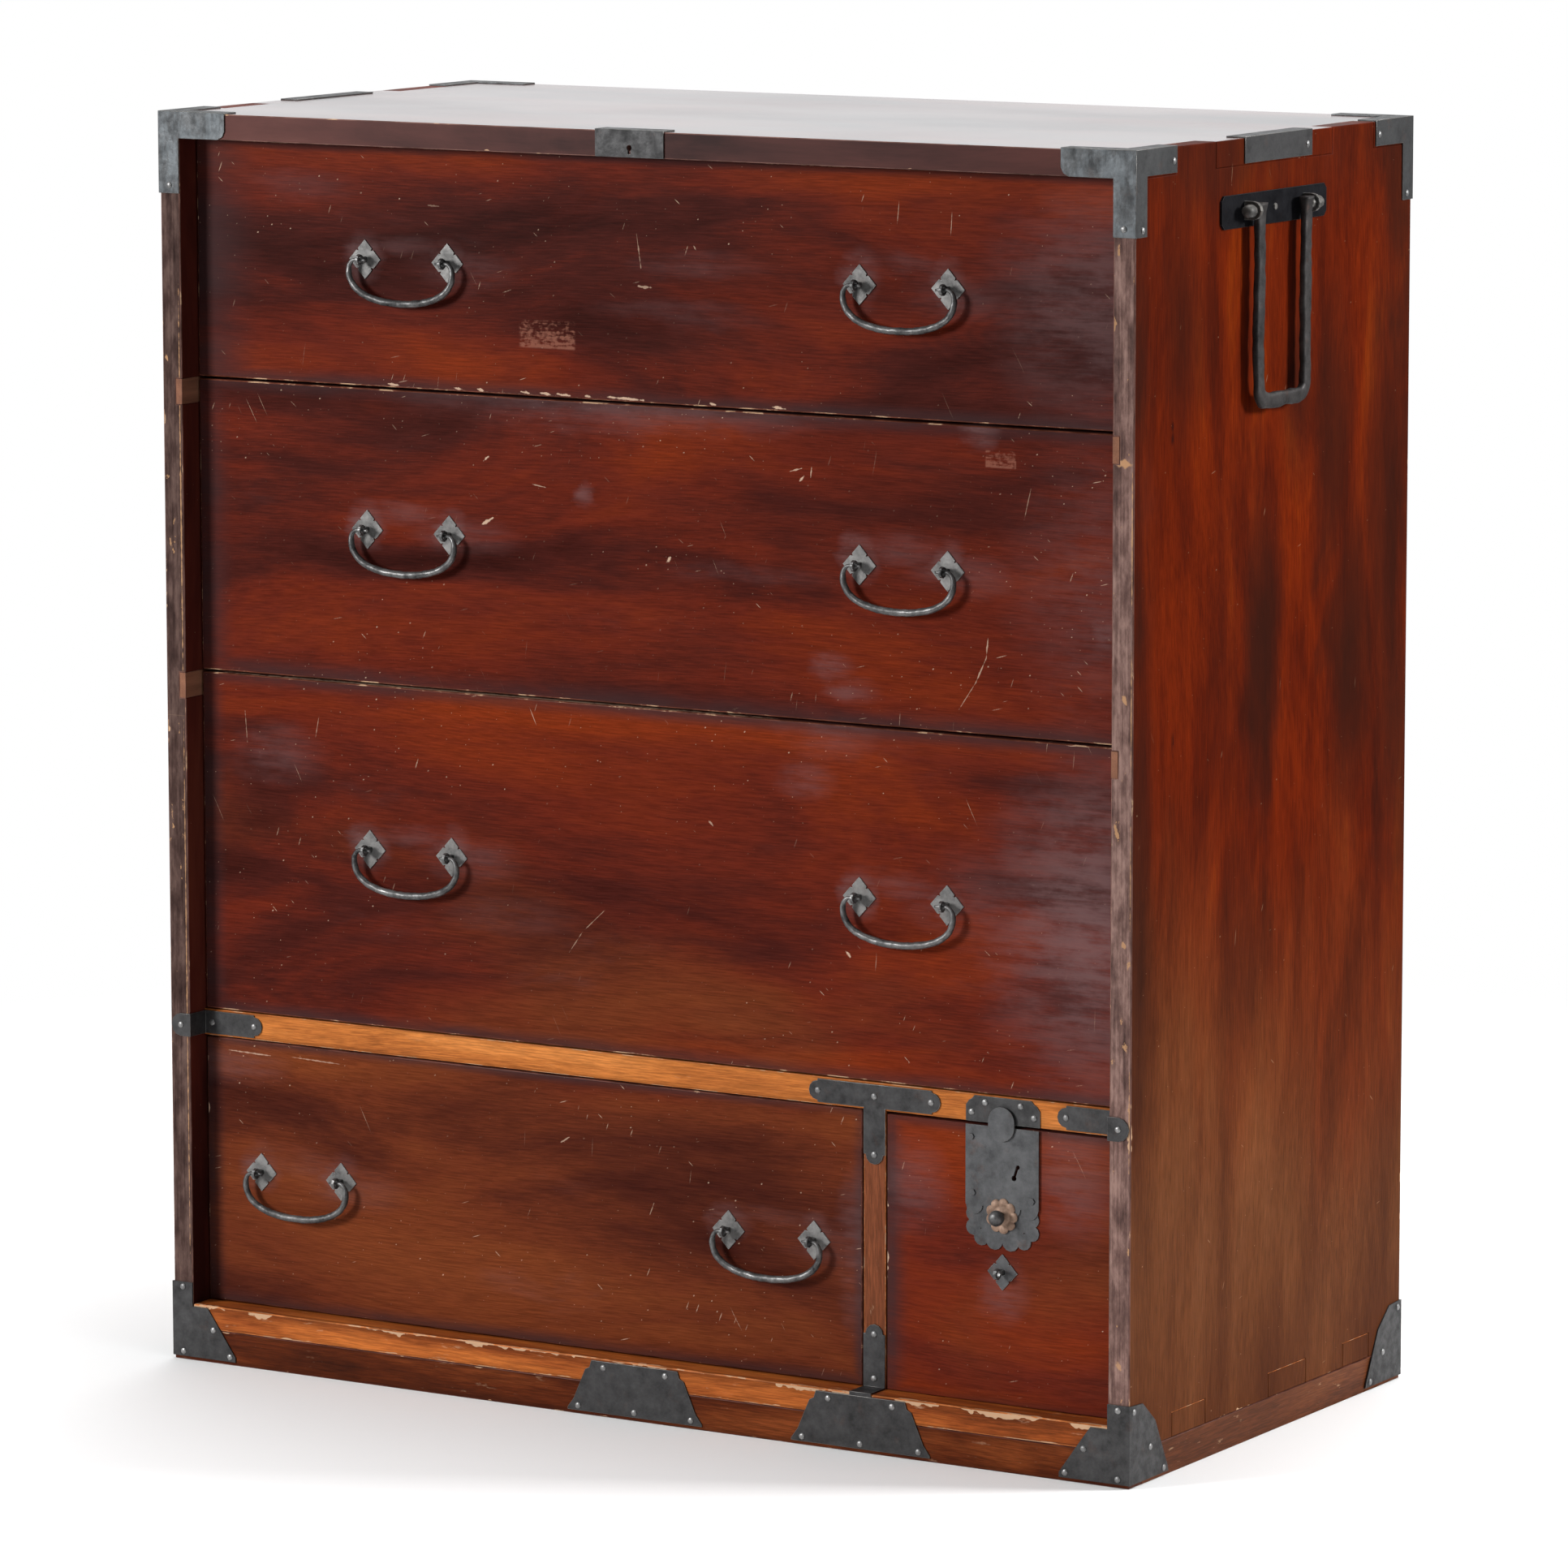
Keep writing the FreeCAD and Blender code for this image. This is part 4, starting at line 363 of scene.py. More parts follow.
def lacquered_front(
    name, box, seed, warmth, bands, sheen_spots, worn, marks_share=1.0, figure=None, strokes=(), patches=(),
    aged=0.0, shades=(), left_rim=52 * MM,
):
    """Red-brown lacquer on a level grain: streaks, warm bands, grey rims of painted shade, painted sheen
    round the irons, and wear.
    """
    n = Surface(name)
    tone, streak, fibre = lacquer_tone(n, "x", seed)
    if figure:
        centre, radius_across, radius_up = figure
        u = (n.x - centre[0]) * (1 / radius_across)
        v = (n.z - centre[1]) * (1 / radius_up)
        square = u * u + v * v
        wobble = n.grained("x", 7.0, 16.0, seed, detail=3.0)
        rings = n.math("SINE", n.math("SQRT", square) * 62.0 + wobble * 7.0)
        mask = n.step(square, 0.1, 1.0, 1.0, 0.0)
        tone = tone + rings * mask * 0.012
    tone = tone + warmth
    sway = (n.grained("x", 2.6, 10.0, seed + 21.0, detail=2.0) - 0.5) * 0.05
    for height, reach, strength in bands:
        away = n.math("ABSOLUTE", n.z - height + sway)
        tone = tone + n.step(away, 0.25 * reach, reach, strength, 0.0)
    for centre, radius_across, radius_up, strength in shades:
        tone = tone - halo(n, n.x, n.z + sway, centre, radius_across, radius_up) * strength
    red = n.ramp(tone, (0.37, LACQUER_DARK), (0.46, LACQUER_DEEP), (0.56, LACQUER_RED), (0.70, LACQUER_WARM))
    brown = n.ramp(tone, (0.35, LACQUER_DARK), (0.45, AGED_DEEP), (0.56, AGED_RED), (0.72, AGED_WARM))
    drift = n.grained("x", 2.2, 5.0, seed + 31.0, detail=3.0)
    colour = pored(n, n.mix(n.step(drift, 0.62 - aged, 0.80 - aged), red, brown), fibre)
    cloud = n.grained("x", 5.0, 15.0, seed + 5.0, detail=5.0, roughness=0.65, distortion=0.5)
    edge = edge_distance(n, box, worn)
    left = n.x - box[0].x
    # Painted shade: grey-purple rims along the edges, reaching furthest in at the left
    rim = n.highest(n.step(edge, 1 * MM, 22 * MM, 0.80, 0.0), n.step(left, 4 * MM, left_rim, 0.85, 0.0))
    colour = n.mix(rim * n.step(cloud, 0.3, 0.62, 0.45, 1.0), colour, EDGE_SHADE_COLOUR)

    # Painted sheen: greyish patches in place of reflections, faint in the cloud figure and stronger in the
    # given spots
    painted_sheen = n.step(cloud, 0.6, 0.8) * 0.1
    ragged = n.grained("x", 26.0, 60.0, seed + 17.0, detail=4.0, roughness=0.65)
    near_u = n.x + (ragged - 0.5) * 0.03
    near_v = n.z + (cloud - 0.5) * 0.045
    for centre, radius_across, radius_up, strength in sheen_spots:
        painted_sheen = n.highest(painted_sheen, halo(n, near_u, near_v, centre, radius_across, radius_up) * strength)
    brushed = n.grained("x", 12.0, 150.0, seed + 19.0, detail=4.0, roughness=0.7)
    painted_sheen = painted_sheen * n.step(brushed * 0.5 + ragged * 0.5, 0.36, 0.6, 0.25, 1.0)
    colour = n.mix(painted_sheen, colour, SHEEN_COLOUR)

    for centre, size, strength in patches:
        colour = n.mix(patch(n, centre, size, seed) * strength, colour, (0.30, 0.120, 0.080))
    chips = edge_chips(n, "x", edge, seed, 0.56, 0.74, 2.6 * MM)
    grit = n.grained("x", 700.0, 700.0, seed)
    handled = n.grained("x", 4.5, 11.0, seed + 51.0, detail=3.0)
    near_head = n.step(box[1].z - n.z, 20 * MM, 75 * MM, 0.10, 0.0)
    often = n.step(handled + near_head, 0.46, 0.60, 0.18, 1.0)
    scuffs = wear_marks(n, n.x, n.z, seed, marks_share) * often * n.step(grit, 0.3, 0.6, 0.2, 0.7)
    broken = n.grained("x", 240.0, 240.0, seed + 2.0, detail=3.0)
    for row in strokes:
        scuffs = n.highest(scuffs, stroke(n, row, broken))
    bare = n.highest(chips * 0.8, scuffs * 0.8)
    colour = n.mix(bare, colour, MARK)
    n.set(
        Base_Color=colour,
        Roughness=n.step(cloud, 0.2, 0.8, 0.24, 0.4) + n.highest(painted_sheen, bare) * 0.3,
        Specular_IOR_Level=0.02,
    )
    relief = streak * 0.5 + fibre * 0.6
    n.bump(relief - bare * 0.8, 0.3, 0.25 * MM)
    return n.material


# Bare places on the side boards' front edges: x and z of both ends and the width in mm, and the strength
FRONT_EDGE_CHIPS = (
    (437, 802, 453, 801, 9.0, 1.0), (453.5, 795, 453.5, 690, 1.8, 0.9),
    (446, 622, 449, 616, 6.0, 0.9), (453.5, 660, 453.5, 560, 1.5, 0.8),
    (447, 431, 449, 426, 5.0, 0.8), (-452, 842, -450, 836, 4.0, 0.9),
    (453.5, 530, 453.5, 440, 1.4, 0.6), (453.5, 330, 453.5, 250, 1.6, 0.7),
    (444, 100, 447, 94, 7.0, 0.7), (-450, 690, -449, 684, 4.0, 0.8),
    (-438.5, 900, -438.5, 560, 1.8, 0.8), (-438.5, 540, -438.5, 90, 1.6, 0.7),
)

FRONT_EDGE = (
    (0.36, (0.058, 0.0330, 0.0290)), (0.48, (0.135, 0.0780, 0.0670)), (0.62, (0.280, 0.1750, 0.1480)),
)

# Where nails in the sides are plugged: places along Y and Z, and half heights
PLUGGED_NAILS = ((-0.169, 0.825, 5 * MM), (-0.169, 0.815, 7 * MM), (-0.166, 0.577, 14 * MM))

# Smoky dark places on the sides: along Y and Z, half width, half height, strength
SIDE_SMOKE = (
    (-0.020, 0.640, 0.045, 0.170, 0.80), (0.133, 0.610, 0.050, 0.200, 0.85),
    (0.038, 0.836, 0.040, 0.110, 0.65),
    (0.094, 0.790, 0.050, 0.150, 0.75), (-0.150, 0.900, 0.060, 0.120, 0.60),
    (-0.060, 0.400, 0.040, 0.120, 0.40),
    (0.185, 0.700, 0.050, 0.260, 0.60),
)


def grain_spots(n, seed):
    return n.grained("z", 90.0, 260.0, seed + 41.0, detail=3.0)


def lacquered_side(name, board, outward, seed):
    """The case side: upright grain, orange-red above and golden brown below, painted shade within the reveal.
    """
    n = Surface(name)
    low, high = board
    tone, streak, fibre = lacquer_tone(n, "z", seed, 0.07, 0.30)
    upper = n.ramp(
        tone, (0.36, (0.036, 0.0050, 0.0020)), (0.45, (0.078, 0.0080, 0.0018)),
        (0.54, (0.125, 0.0130, 0.0018)), (0.66, (0.190, 0.0280, 0.0022)),
    )
    lower = n.ramp(
        tone, (0.36, (0.045, 0.0130, 0.0050)), (0.46, (0.078, 0.0235, 0.0082)),
        (0.55, (0.102, 0.0325, 0.0112)), (0.68, (0.135, 0.0470, 0.0170)),
    )
    drift = (n.grained("z", 1.6, 5.0, seed + 9.0, detail=4.0) - 0.5) * 0.55
    height = n.z + drift + n.y * 0.25
    colour = pored(n, n.mix(n.step(height, 0.18, 0.50), lower, upper), fibre, 0.22)
    smudge = n.grained("z", 2.8, 6.5, seed + 4.0, detail=6.0, roughness=0.6, distortion=0.6)
    reach = n.step(n.y, -0.16, 0.04) * n.step(n.z, 0.28, 0.48)
    colour = n.mix(n.step(smudge, 0.5, 0.64) * reach * 0.5, colour, (0.024, 0.0062, 0.0034))
    ragged = n.grained("z", 7.0, 20.0, seed + 44.0, detail=4.0, roughness=0.6)
    near_y = n.y + (ragged - 0.5) * 0.05
    near_z = n.z + (smudge - 0.5) * 0.16
    smoky = 0.0
    for y, z, across, tall, strength in SIDE_SMOKE:
        smoky = n.highest(smoky, halo(n, near_y, near_z, (y, z), across, tall) * strength)
    colour = n.mix(smoky, colour, (0.024, 0.0068, 0.0040))

    # Painted shade in darker margins along the board's front, back and head, and a dusty foot
    front_margin = n.step(n.y - low.y, 6 * MM, 46 * MM, 0.72, 0.0)
    back_margin = n.step(high.y - n.y, 2 * MM, 95 * MM, 0.62, 0.0)
    head_margin = n.step(case_high.z - n.z, 20 * MM, 90 * MM, 0.55, 0.0)
    margin = n.highest(front_margin, back_margin, head_margin) * n.step(smudge, 0.36, 0.58, 0.45, 1.0)
    margin = margin * n.step(n.z, 0.1, 0.55, 0.45, 1.0)
    colour = n.mix(margin, colour, (0.026, 0.0085, 0.0052))
    foot = n.step(n.z, 0.05, 0.14, 0.35, 0.0) * n.step(smudge, 0.35, 0.6)
    colour = n.mix(foot, colour, (0.060, 0.018, 0.008))
    # A faint greyish painted sheen over the upper part of the side
    side_sheen = n.step(smudge, 0.3, 0.42, 1.0, 0.0) * n.step(n.z, 0.45, 0.6)
    colour = n.mix(side_sheen * 0.08, colour, (0.070, 0.028, 0.022))

    for y, z, tall in PLUGGED_NAILS:
        spot = halo(n, n.y, n.z, (y, z), 3.2 * MM, tall) * n.step(grain_spots(n, seed), 0.35, 0.5)
        colour = n.mix(spot * 0.85, colour, (0.014, 0.0035, 0.0025))

    on_front = n.step(n.y, front_plane + 0.3 * MM, front_plane + 0.6 * MM, 1.0, 0.0)
    edge = edge_distance(n, board, (1.0, 1.0, 1.0, 1.0))
    chips = edge_chips(n, "z", edge, seed, 0.58, 0.76, 3.4 * MM)
    marks = wear_marks(n, n.y, n.z, seed + 8.0, 0.28)
    bare = n.highest(chips * 0.9, marks * 0.3)

    # The front edge: grey-brown and cracked along the grain, with a few blocks of bare wood
    crack = n.grained("z", 9.0, 420.0, seed + 6.0, detail=4.0, roughness=0.7)
    cast = n.grained("z", 40.0, 110.0, seed + 16.0, detail=5.0, roughness=0.65)
    # Painted shade: the left side's front edge takes the right side's colours at 0.42
    edge_painted_light = 1.0 if outward > 0 else 0.42
    front_edge = n.ramp(
        crack * 0.4 + cast * 0.6,
        *((place, tuple(part * edge_painted_light for part in colour_stop)) for place, colour_stop in FRONT_EDGE),
    )
    blocks = n.grained("z", 42.0, 90.0, seed + 26.0, detail=5.0, roughness=0.62)
    front_edge = n.mix(n.step(blocks, 0.655, 0.675) * 0.85, front_edge, (0.42, 0.235, 0.12))
    broken = n.grained("z", 200.0, 200.0, seed + 2.0, detail=3.0)
    for row in FRONT_EDGE_CHIPS:
        front_edge = n.mix(stroke(n, row, broken), front_edge, (0.45, 0.250, 0.130))
    colour = n.mix(on_front, colour, front_edge)
    # Painted shade: the inner face within the reveal gets its own darker colours
    reveal = n.ramp(
        tone, (0.40, (0.030, 0.0070, 0.0055)), (0.54, (0.075, 0.0150, 0.0100)), (0.70, (0.130, 0.032, 0.018)),
    )
    depth_in = (high.x if outward > 0 else -low.x) - n.x * outward
    inside = n.step(depth_in, 17.4 * MM, 18.8 * MM)
    colour = n.mix(inside * (1.0 - on_front), colour, reveal)
    colour = n.mix(bare, colour, BARE)
    n.set(
        Base_Color=colour,
        Roughness=n.step(smudge, 0.2, 0.8, 0.34, 0.48) + bare * 0.25,
        Specular_IOR_Level=0.01,
    )
    n.bump(streak * 0.5 + fibre * 0.7 - bare, 0.3, 0.25 * MM)
    return n.material


def lacquered_rail(
    name, grain, stops, seed, box=None, worn=None, specular=0.06, rough=0.36, scuff=0.5, chipped=(0.58, 0.76),
):
    """A board whose colour stops are given, with worn edges and painted shade along them where a box and
    weights say so.
    """
    n = Surface(name)
    tone, streak, fibre = lacquer_tone(n, grain, seed, streaky=0.45)
    colour = pored(n, n.ramp(tone, *stops), fibre, 0.28)
    scuffs = n.grained(grain, 30.0, 130.0, seed + 4.0, detail=4.0, roughness=0.7)
    bare = n.step(scuffs, 0.62, 0.74) * scuff
    if box:
        edge = edge_distance(n, box, worn)
        bare = n.highest(bare, edge_chips(n, grain, edge, seed, *chipped, 3.6 * MM) * 0.9)
        # Painted shade within 7 mm of the edges, darker than the darkest stop
        colour = n.mix(
            n.step(edge, 0.0, 7 * MM, 0.45, 0.0), colour, tuple(part * 0.4 for part in stops[0][1]),
        )
    colour = n.mix(bare, colour, BARE)
    n.set(Base_Color=colour, Roughness=rough + bare * 0.25, Specular_IOR_Level=specular)
    n.bump(streak * 0.4 + fibre * 0.6 - bare, 0.35, 0.25 * MM)
    return n.material


def polished_top(name, stops, seed, box):
    """The top board: clear gloss over dark wood. Its front and side edges are duller."""
    n = Surface(name)
    tone, streak, _ = lacquer_tone(n, "x", seed)
    colour = n.ramp(tone, *stops)
    edge = edge_distance(n, box, (1.0, 1.0, 1.0, 1.0))
    bare = edge_chips(n, "x", edge, seed, 0.62, 0.78, 3.4 * MM) * 0.9
    colour = n.mix(bare, colour, BARE)
    dull = n.grained("x", 3.0, 5.0, seed + 6.0, detail=4.0, roughness=0.5)
    upward = n.step(n.facing[2], 0.4, 0.8)
    n.set(
        Base_Color=colour,
        Roughness=n.step(dull, 0.3, 0.7, 0.3, 0.36) + bare * 0.3,
        Specular_IOR_Level=0.08,
        Coat_Weight=upward * n.step(dull, 0.25, 0.75, 1.0, 0.88),
        Coat_Roughness=0.18,
    )
    n.bump(streak * 0.1 - bare, 0.05, 0.05 * MM)
    return n.material


def bare_wood(name, grain, light, dark, seed, boards=None):
    """Unfinished aged wood with a fine grain. Boards are where their span starts and ends, and how many."""
    n = Surface(name)
    smoke, streak, fibre = grain_layers(n, grain, seed, 0.03)
    tone = smoke * 0.22 + (streak * 0.55 + fibre * 0.23)
    seam = 0.0
    if boards:
        start, end, count = boards
        width = (end - start) / count
        share = (n.x - start) * (1 / width)
        own = n.noise(n.vector(n.math("FLOOR", share) * 7.3, seed, 0.0))
        tone = tone + (own - 0.5) * 0.22
        from_middle = n.math("ABSOLUTE", n.math("FRACT", share) - 0.5)
        seam = n.step(from_middle, 0.5 - 4.5 * MM / width, 0.5 - 0.4 * MM / width, 0.0, 0.85)
    colour = n.ramp(tone, (0.36, dark), (0.60, light))
    colour = n.mix(seam, colour, tuple(part * 0.25 for part in dark))
    n.set(Base_Color=colour, Roughness=n.step(fibre, 0.2, 0.8, 0.62, 0.78), Specular_IOR_Level=0.2)
    n.bump(streak * 0.4 + fibre, 0.4, 0.2 * MM)
    return n.material


def worn_edge(name, grain, under, seed, amount=0.5):
    """The narrow rounded edge of a board: lacquer worn thin, and bare wood where it has chipped."""
    n = Surface(name)
    rub = n.grained(grain, 34.0, 90.0, seed, detail=4.0, roughness=0.65)
    fine = n.grained(grain, 160.0, 300.0, seed + 3.0, detail=3.0)
    bare = n.step(rub + (fine - 0.5) * 0.25, 0.70 - 0.20 * amount, 0.78 - 0.20 * amount)
    thin = n.mix(n.step(rub, 0.35, 0.6), under, tuple(min(1.0, 2.2 * part + 0.01) for part in under))
    n.set(
        Base_Color=n.mix(bare * 0.85, thin, BARE), Roughness=n.step(bare, 0.0, 1.0, 0.42, 0.66),
        Specular_IOR_Level=0.12,
    )
    n.bump(fine - bare, 0.5, 0.3 * MM)
    return n.material


def old_iron(
    name, dark, light, seed, rust=0.12, rough=(0.42, 0.62), metal=0.55, pitting=0.5, front_sheen=None, gloss=0.3,
):
    """Hand-worked iron: dark skin with paler places, brown rust in spots and a pitted hammered surface, and
    where asked a painted sheen on the faces that face the front.
    """
    n = Surface(name)
    mottle = n.grained("x", 90.0, 90.0, seed, detail=5.0, roughness=0.65)
    broad = n.grained("x", 22.0, 22.0, seed + 5.0, detail=3.0)
    grit = n.grained("x", 600.0, 600.0, seed + 2.0, detail=3.0, roughness=0.7)
    tone = mottle * 0.6 + (broad * 0.3 + grit * 0.12)
    colour = n.ramp(tone, (0.36, dark), (0.66, light))
    rusty = n.step(n.grained("x", 60.0, 60.0, seed + 11.0, detail=5.0, roughness=0.7), 0.56, 0.74) * rust
    colour = n.mix(rusty, colour, (0.16, 0.055, 0.022))
    # Painted sheen: paler streaks on the faces that face the front
    if front_sheen:
        streaks = n.grained("z", 34.0, 80.0, seed + 13.0, detail=5.0, roughness=0.7)
        forwards = n.step(n.facing[1], -0.9, -0.6, 1.0, 0.0)
        colour = n.mix(forwards * n.step(streaks, 0.38, 0.62, 0.15, 0.9), colour, front_sheen)
    n.set(
        Base_Color=colour,
        Metallic=metal,
        Roughness=n.step(mottle, 0.3, 0.7, rough[1], rough[0]) + rusty * 0.2,
        Specular_IOR_Level=gloss,
    )
    n.bump(broad * 1.2 + (mottle + grit * 0.25), pitting, 0.5 * MM)
    return n.material


# Meshes
def node_mesh(node):
    """A CAD node's surface with its flat faces joined up again."""
    mesh = bmesh.new()
    mesh.from_mesh(nodes[node].data)
    bmesh.ops.remove_doubles(mesh, verts=mesh.verts, dist=0.002 * MM)
    bmesh.ops.dissolve_limit(mesh, angle_limit=math.radians(0.6), verts=mesh.verts, edges=mesh.edges)
    return mesh


def add_piece(name, mesh, materials, body, replaced=()):
    """Puts a mesh in the scene as a piece that rides on a body."""
    data = bpy.data.meshes.new(name)
    mesh.to_mesh(data)
    mesh.free()
    for material in materials:
        data.materials.append(material)
    piece = bpy.data.objects.new(name, data)
    bpy.context.scene.collection.objects.link(piece)
    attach(piece, body)
    if replaced:
        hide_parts(*replaced)
    return piece


def soften(mesh, width, segments, least_angle=25.0, edge_material=1, hollows=True):
    """Rounds a mesh's sharp edges, in the edge material. Hollow corners may stay sharp."""
    limit = math.radians(least_angle)
    sharp = [edge for edge in mesh.edges if len(edge.link_faces) == 2 and edge.calc_face_angle(0.0) > limit
             and (hollows or edge.is_convex)]
    result = bmesh.ops.bevel(
        mesh, geom=sharp, offset=width, offset_type="OFFSET", segments=segments, profile=0.5, affect="EDGES",
        clamp_overlap=True, material=edge_material, harden_normals=False,
    )
    for face in result["faces"]:
        face.smooth = True
    return mesh


def softened_copy(node, materials, width, segments=2, name=None, hollows=True):
    """The CAD node's own shape with rounded, worn edges, in place of the node."""
    mesh = soften(node_mesh(node), width, segments, hollows=hollows)
    return add_piece(name or f"{node}_worn", mesh, materials, bodies[node], (node,))


def islands(mesh):
    """The vertices of each separate solid in a mesh."""
    left = set(mesh.verts)
    found = []
    while left:
        start = left.pop()
        group, queue = {start}, [start]
        while queue:
            for edge in queue.pop().link_edges:
                for vert in edge.verts:
                    if vert in left:
                        left.remove(vert)
                        group.add(vert)
                        queue.append(vert)
        found.append(group)
    return found


def island_boxes(node):
    """Lowest and highest corners of each separate solid of a CAD node, in order of their places."""
    mesh = node_mesh(node)
    boxes = []
    for group in islands(mesh):
        low = Vector([min(vert.co[k] for vert in group) for k in range(3)])
        high = Vector([max(vert.co[k] for vert in group) for k in range(3)])
        boxes.append((low, high))
    mesh.free()
    return sorted(boxes, key=lambda box: tuple(box[0]))


def bridge(mesh, rows, smooth=True):
    """Joins closed rows of points, one after another, by faces."""
    for lower, upper in zip(rows, rows[1:]):
        for k in range(len(lower)):
            after = (k + 1) % len(lower)
            mesh.faces.new((lower[k], lower[after], upper[after], upper[k])).smooth = smooth


def skin(mesh, rings):
    """Closes a row of rings to a solid."""
    bridge(mesh, rings)
    for ring in (rings[0][::-1], rings[-1]):
        mesh.faces.new(ring).smooth = True


def turned(mesh, profile, centre, axis, sides, wobble=0.0, seed=0):
    """Adds a turned form: (distance out, radius) pairs about an axis through a centre."""
    first = axis.orthogonal().normalized()
    second = axis.cross(first)
    chance = random.Random(seed)
    shares = [1.0 + wobble * chance.uniform(-1, 1) for _ in range(sides)]
    rings = []
    for out, radius in profile:
        ring = []
        for k in range(sides):
            angle = math.tau * k / sides
            spoke = first * math.cos(angle) + second * math.sin(angle)
            ring.append(mesh.verts.new(centre + axis * out + spoke * radius * shares[k]))
        rings.append(ring)
    skin(mesh, rings)
    return mesh


def bent_path(points, count):
    """A smooth line through a few points, as evenly spread points."""
    line = []
    for k in range(len(points) - 1):
        before = points[max(k - 1, 0)]
        start, end = points[k], points[k + 1]
        after = points[min(k + 2, len(points) - 1)]
        for j in range(8):
            t = j / 8
            line.append(
                0.5 * (2 * start + (end - before) * t + (2 * before - 5 * start + 4 * end - after) * t * t
                       + (3 * start - before - 3 * end + after) * t * t * t)
            )
    line.append(points[-1])
    lengths = [0.0]
    for a, b in zip(line, line[1:]):
        lengths.append(lengths[-1] + (b - a).length)
    spread, k = [], 0
    for step in range(count + 1):
        target = lengths[-1] * step / count
        while k < len(line) - 2 and lengths[k + 1] < target:
            k += 1
        span = lengths[k + 1] - lengths[k]
        spread.append(line[k].lerp(line[k + 1], (target - lengths[k]) / span if span else 0.0))
    return spread


def forged_bar(path, section, normal, sides, squareness, roughness, fineness, seed=0.0):
    """A bar along a path in a plane across a normal. The section gives half widths for a share of the way."""
    mesh = bmesh.new()
    rings = []
    for k, point in enumerate(path):
        side = (path[min(k + 1, len(path) - 1)] - path[max(k - 1, 0)]).cross(normal).normalized()
        deep, wide = section(k / (len(path) - 1))
        ring = []
        for j in range(sides):
            angle = math.tau * (j + 0.5) / sides
            c, s = math.cos(angle), math.sin(angle)
            reach = (abs(c) ** squareness + abs(s) ** squareness) ** (-1 / squareness)
            place = point + normal * (deep * c * reach) + side * (wide * s * reach)
            place += (place - point) * roughness * noise.noise(place * fineness + Vector((seed, seed, 0)))
            ring.append(mesh.verts.new(place))
        rings.append(ring)
    skin(mesh, rings)
    return mesh


# Materials
drawer_names = ("top_drawer", "second_drawer", "third_drawer", "bottom_drawer")


def bail_middle(name):
    low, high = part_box(name)
    return Vector(((low.x + high.x) / 2, (low.y + high.y) / 2, high.z - BAIL_TIP_RADIUS))


def diamond_sheen_spots(drawer, strength):
    """Painted sheen round each diamond, and fainter painted smears of sheen above and to the right of the
    pair.
    """
    spots = []
    for side in ("left", "right"):
        middle = bail_middle(f"{drawer}_{side}_bail")
        for sign in (-1, 1):
            spots.append(((middle.x + sign * BAIL_HALF_SPAN, middle.z + 3 * MM), 24 * MM, 25 * MM, strength))
        spots.append(((middle.x + 56 * MM, middle.z - 4 * MM), 62 * MM, 24 * MM, strength * 0.42))
        spots.append(((middle.x, middle.z + 14 * MM), 56 * MM, 14 * MM, strength * 0.38))
    return spots


def front_material(drawer, *looks_of_it, **more):
    return lacquered_front(f"{drawer}_lacquer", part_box(f"{drawer}_front"), *looks_of_it, **more)


# Painted sheen at the right end of a front
def right_edge_sheen(node, strength, width=0.11):
    low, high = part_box(node)
    return [((high.x - 0.01, (low.z + high.z) / 2), width, (high.z - low.z) * 0.62, strength)]


# Painted sheen along the top of a front
def top_edge_sheen(node, middle, width, strength):
    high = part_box(node)[1]
    return [((middle, high.z), width, 0.030, strength)]


def chips_along(height, places):
    """Short chips on a front's edge, at a height and places across it in mm, each as long as it is given."""
    return tuple((x, height + 0.4, x + long, height - 0.6, 3.2, 1.0) for x, long in places)


# Chips and scratches of the second drawer, above its handles
SECOND_DRAWER_MARKS = (
    (-155, 768, -150, 772, 4.0, 1.0), (-108, 752, -95, 750, 1.6, 0.6),
    (134, 776, 145, 779, 1.8, 0.8), (143, 769, 147, 773, 3.2, 1.0),
    (154, 781, 153, 772, 1.4, 0.8),
)
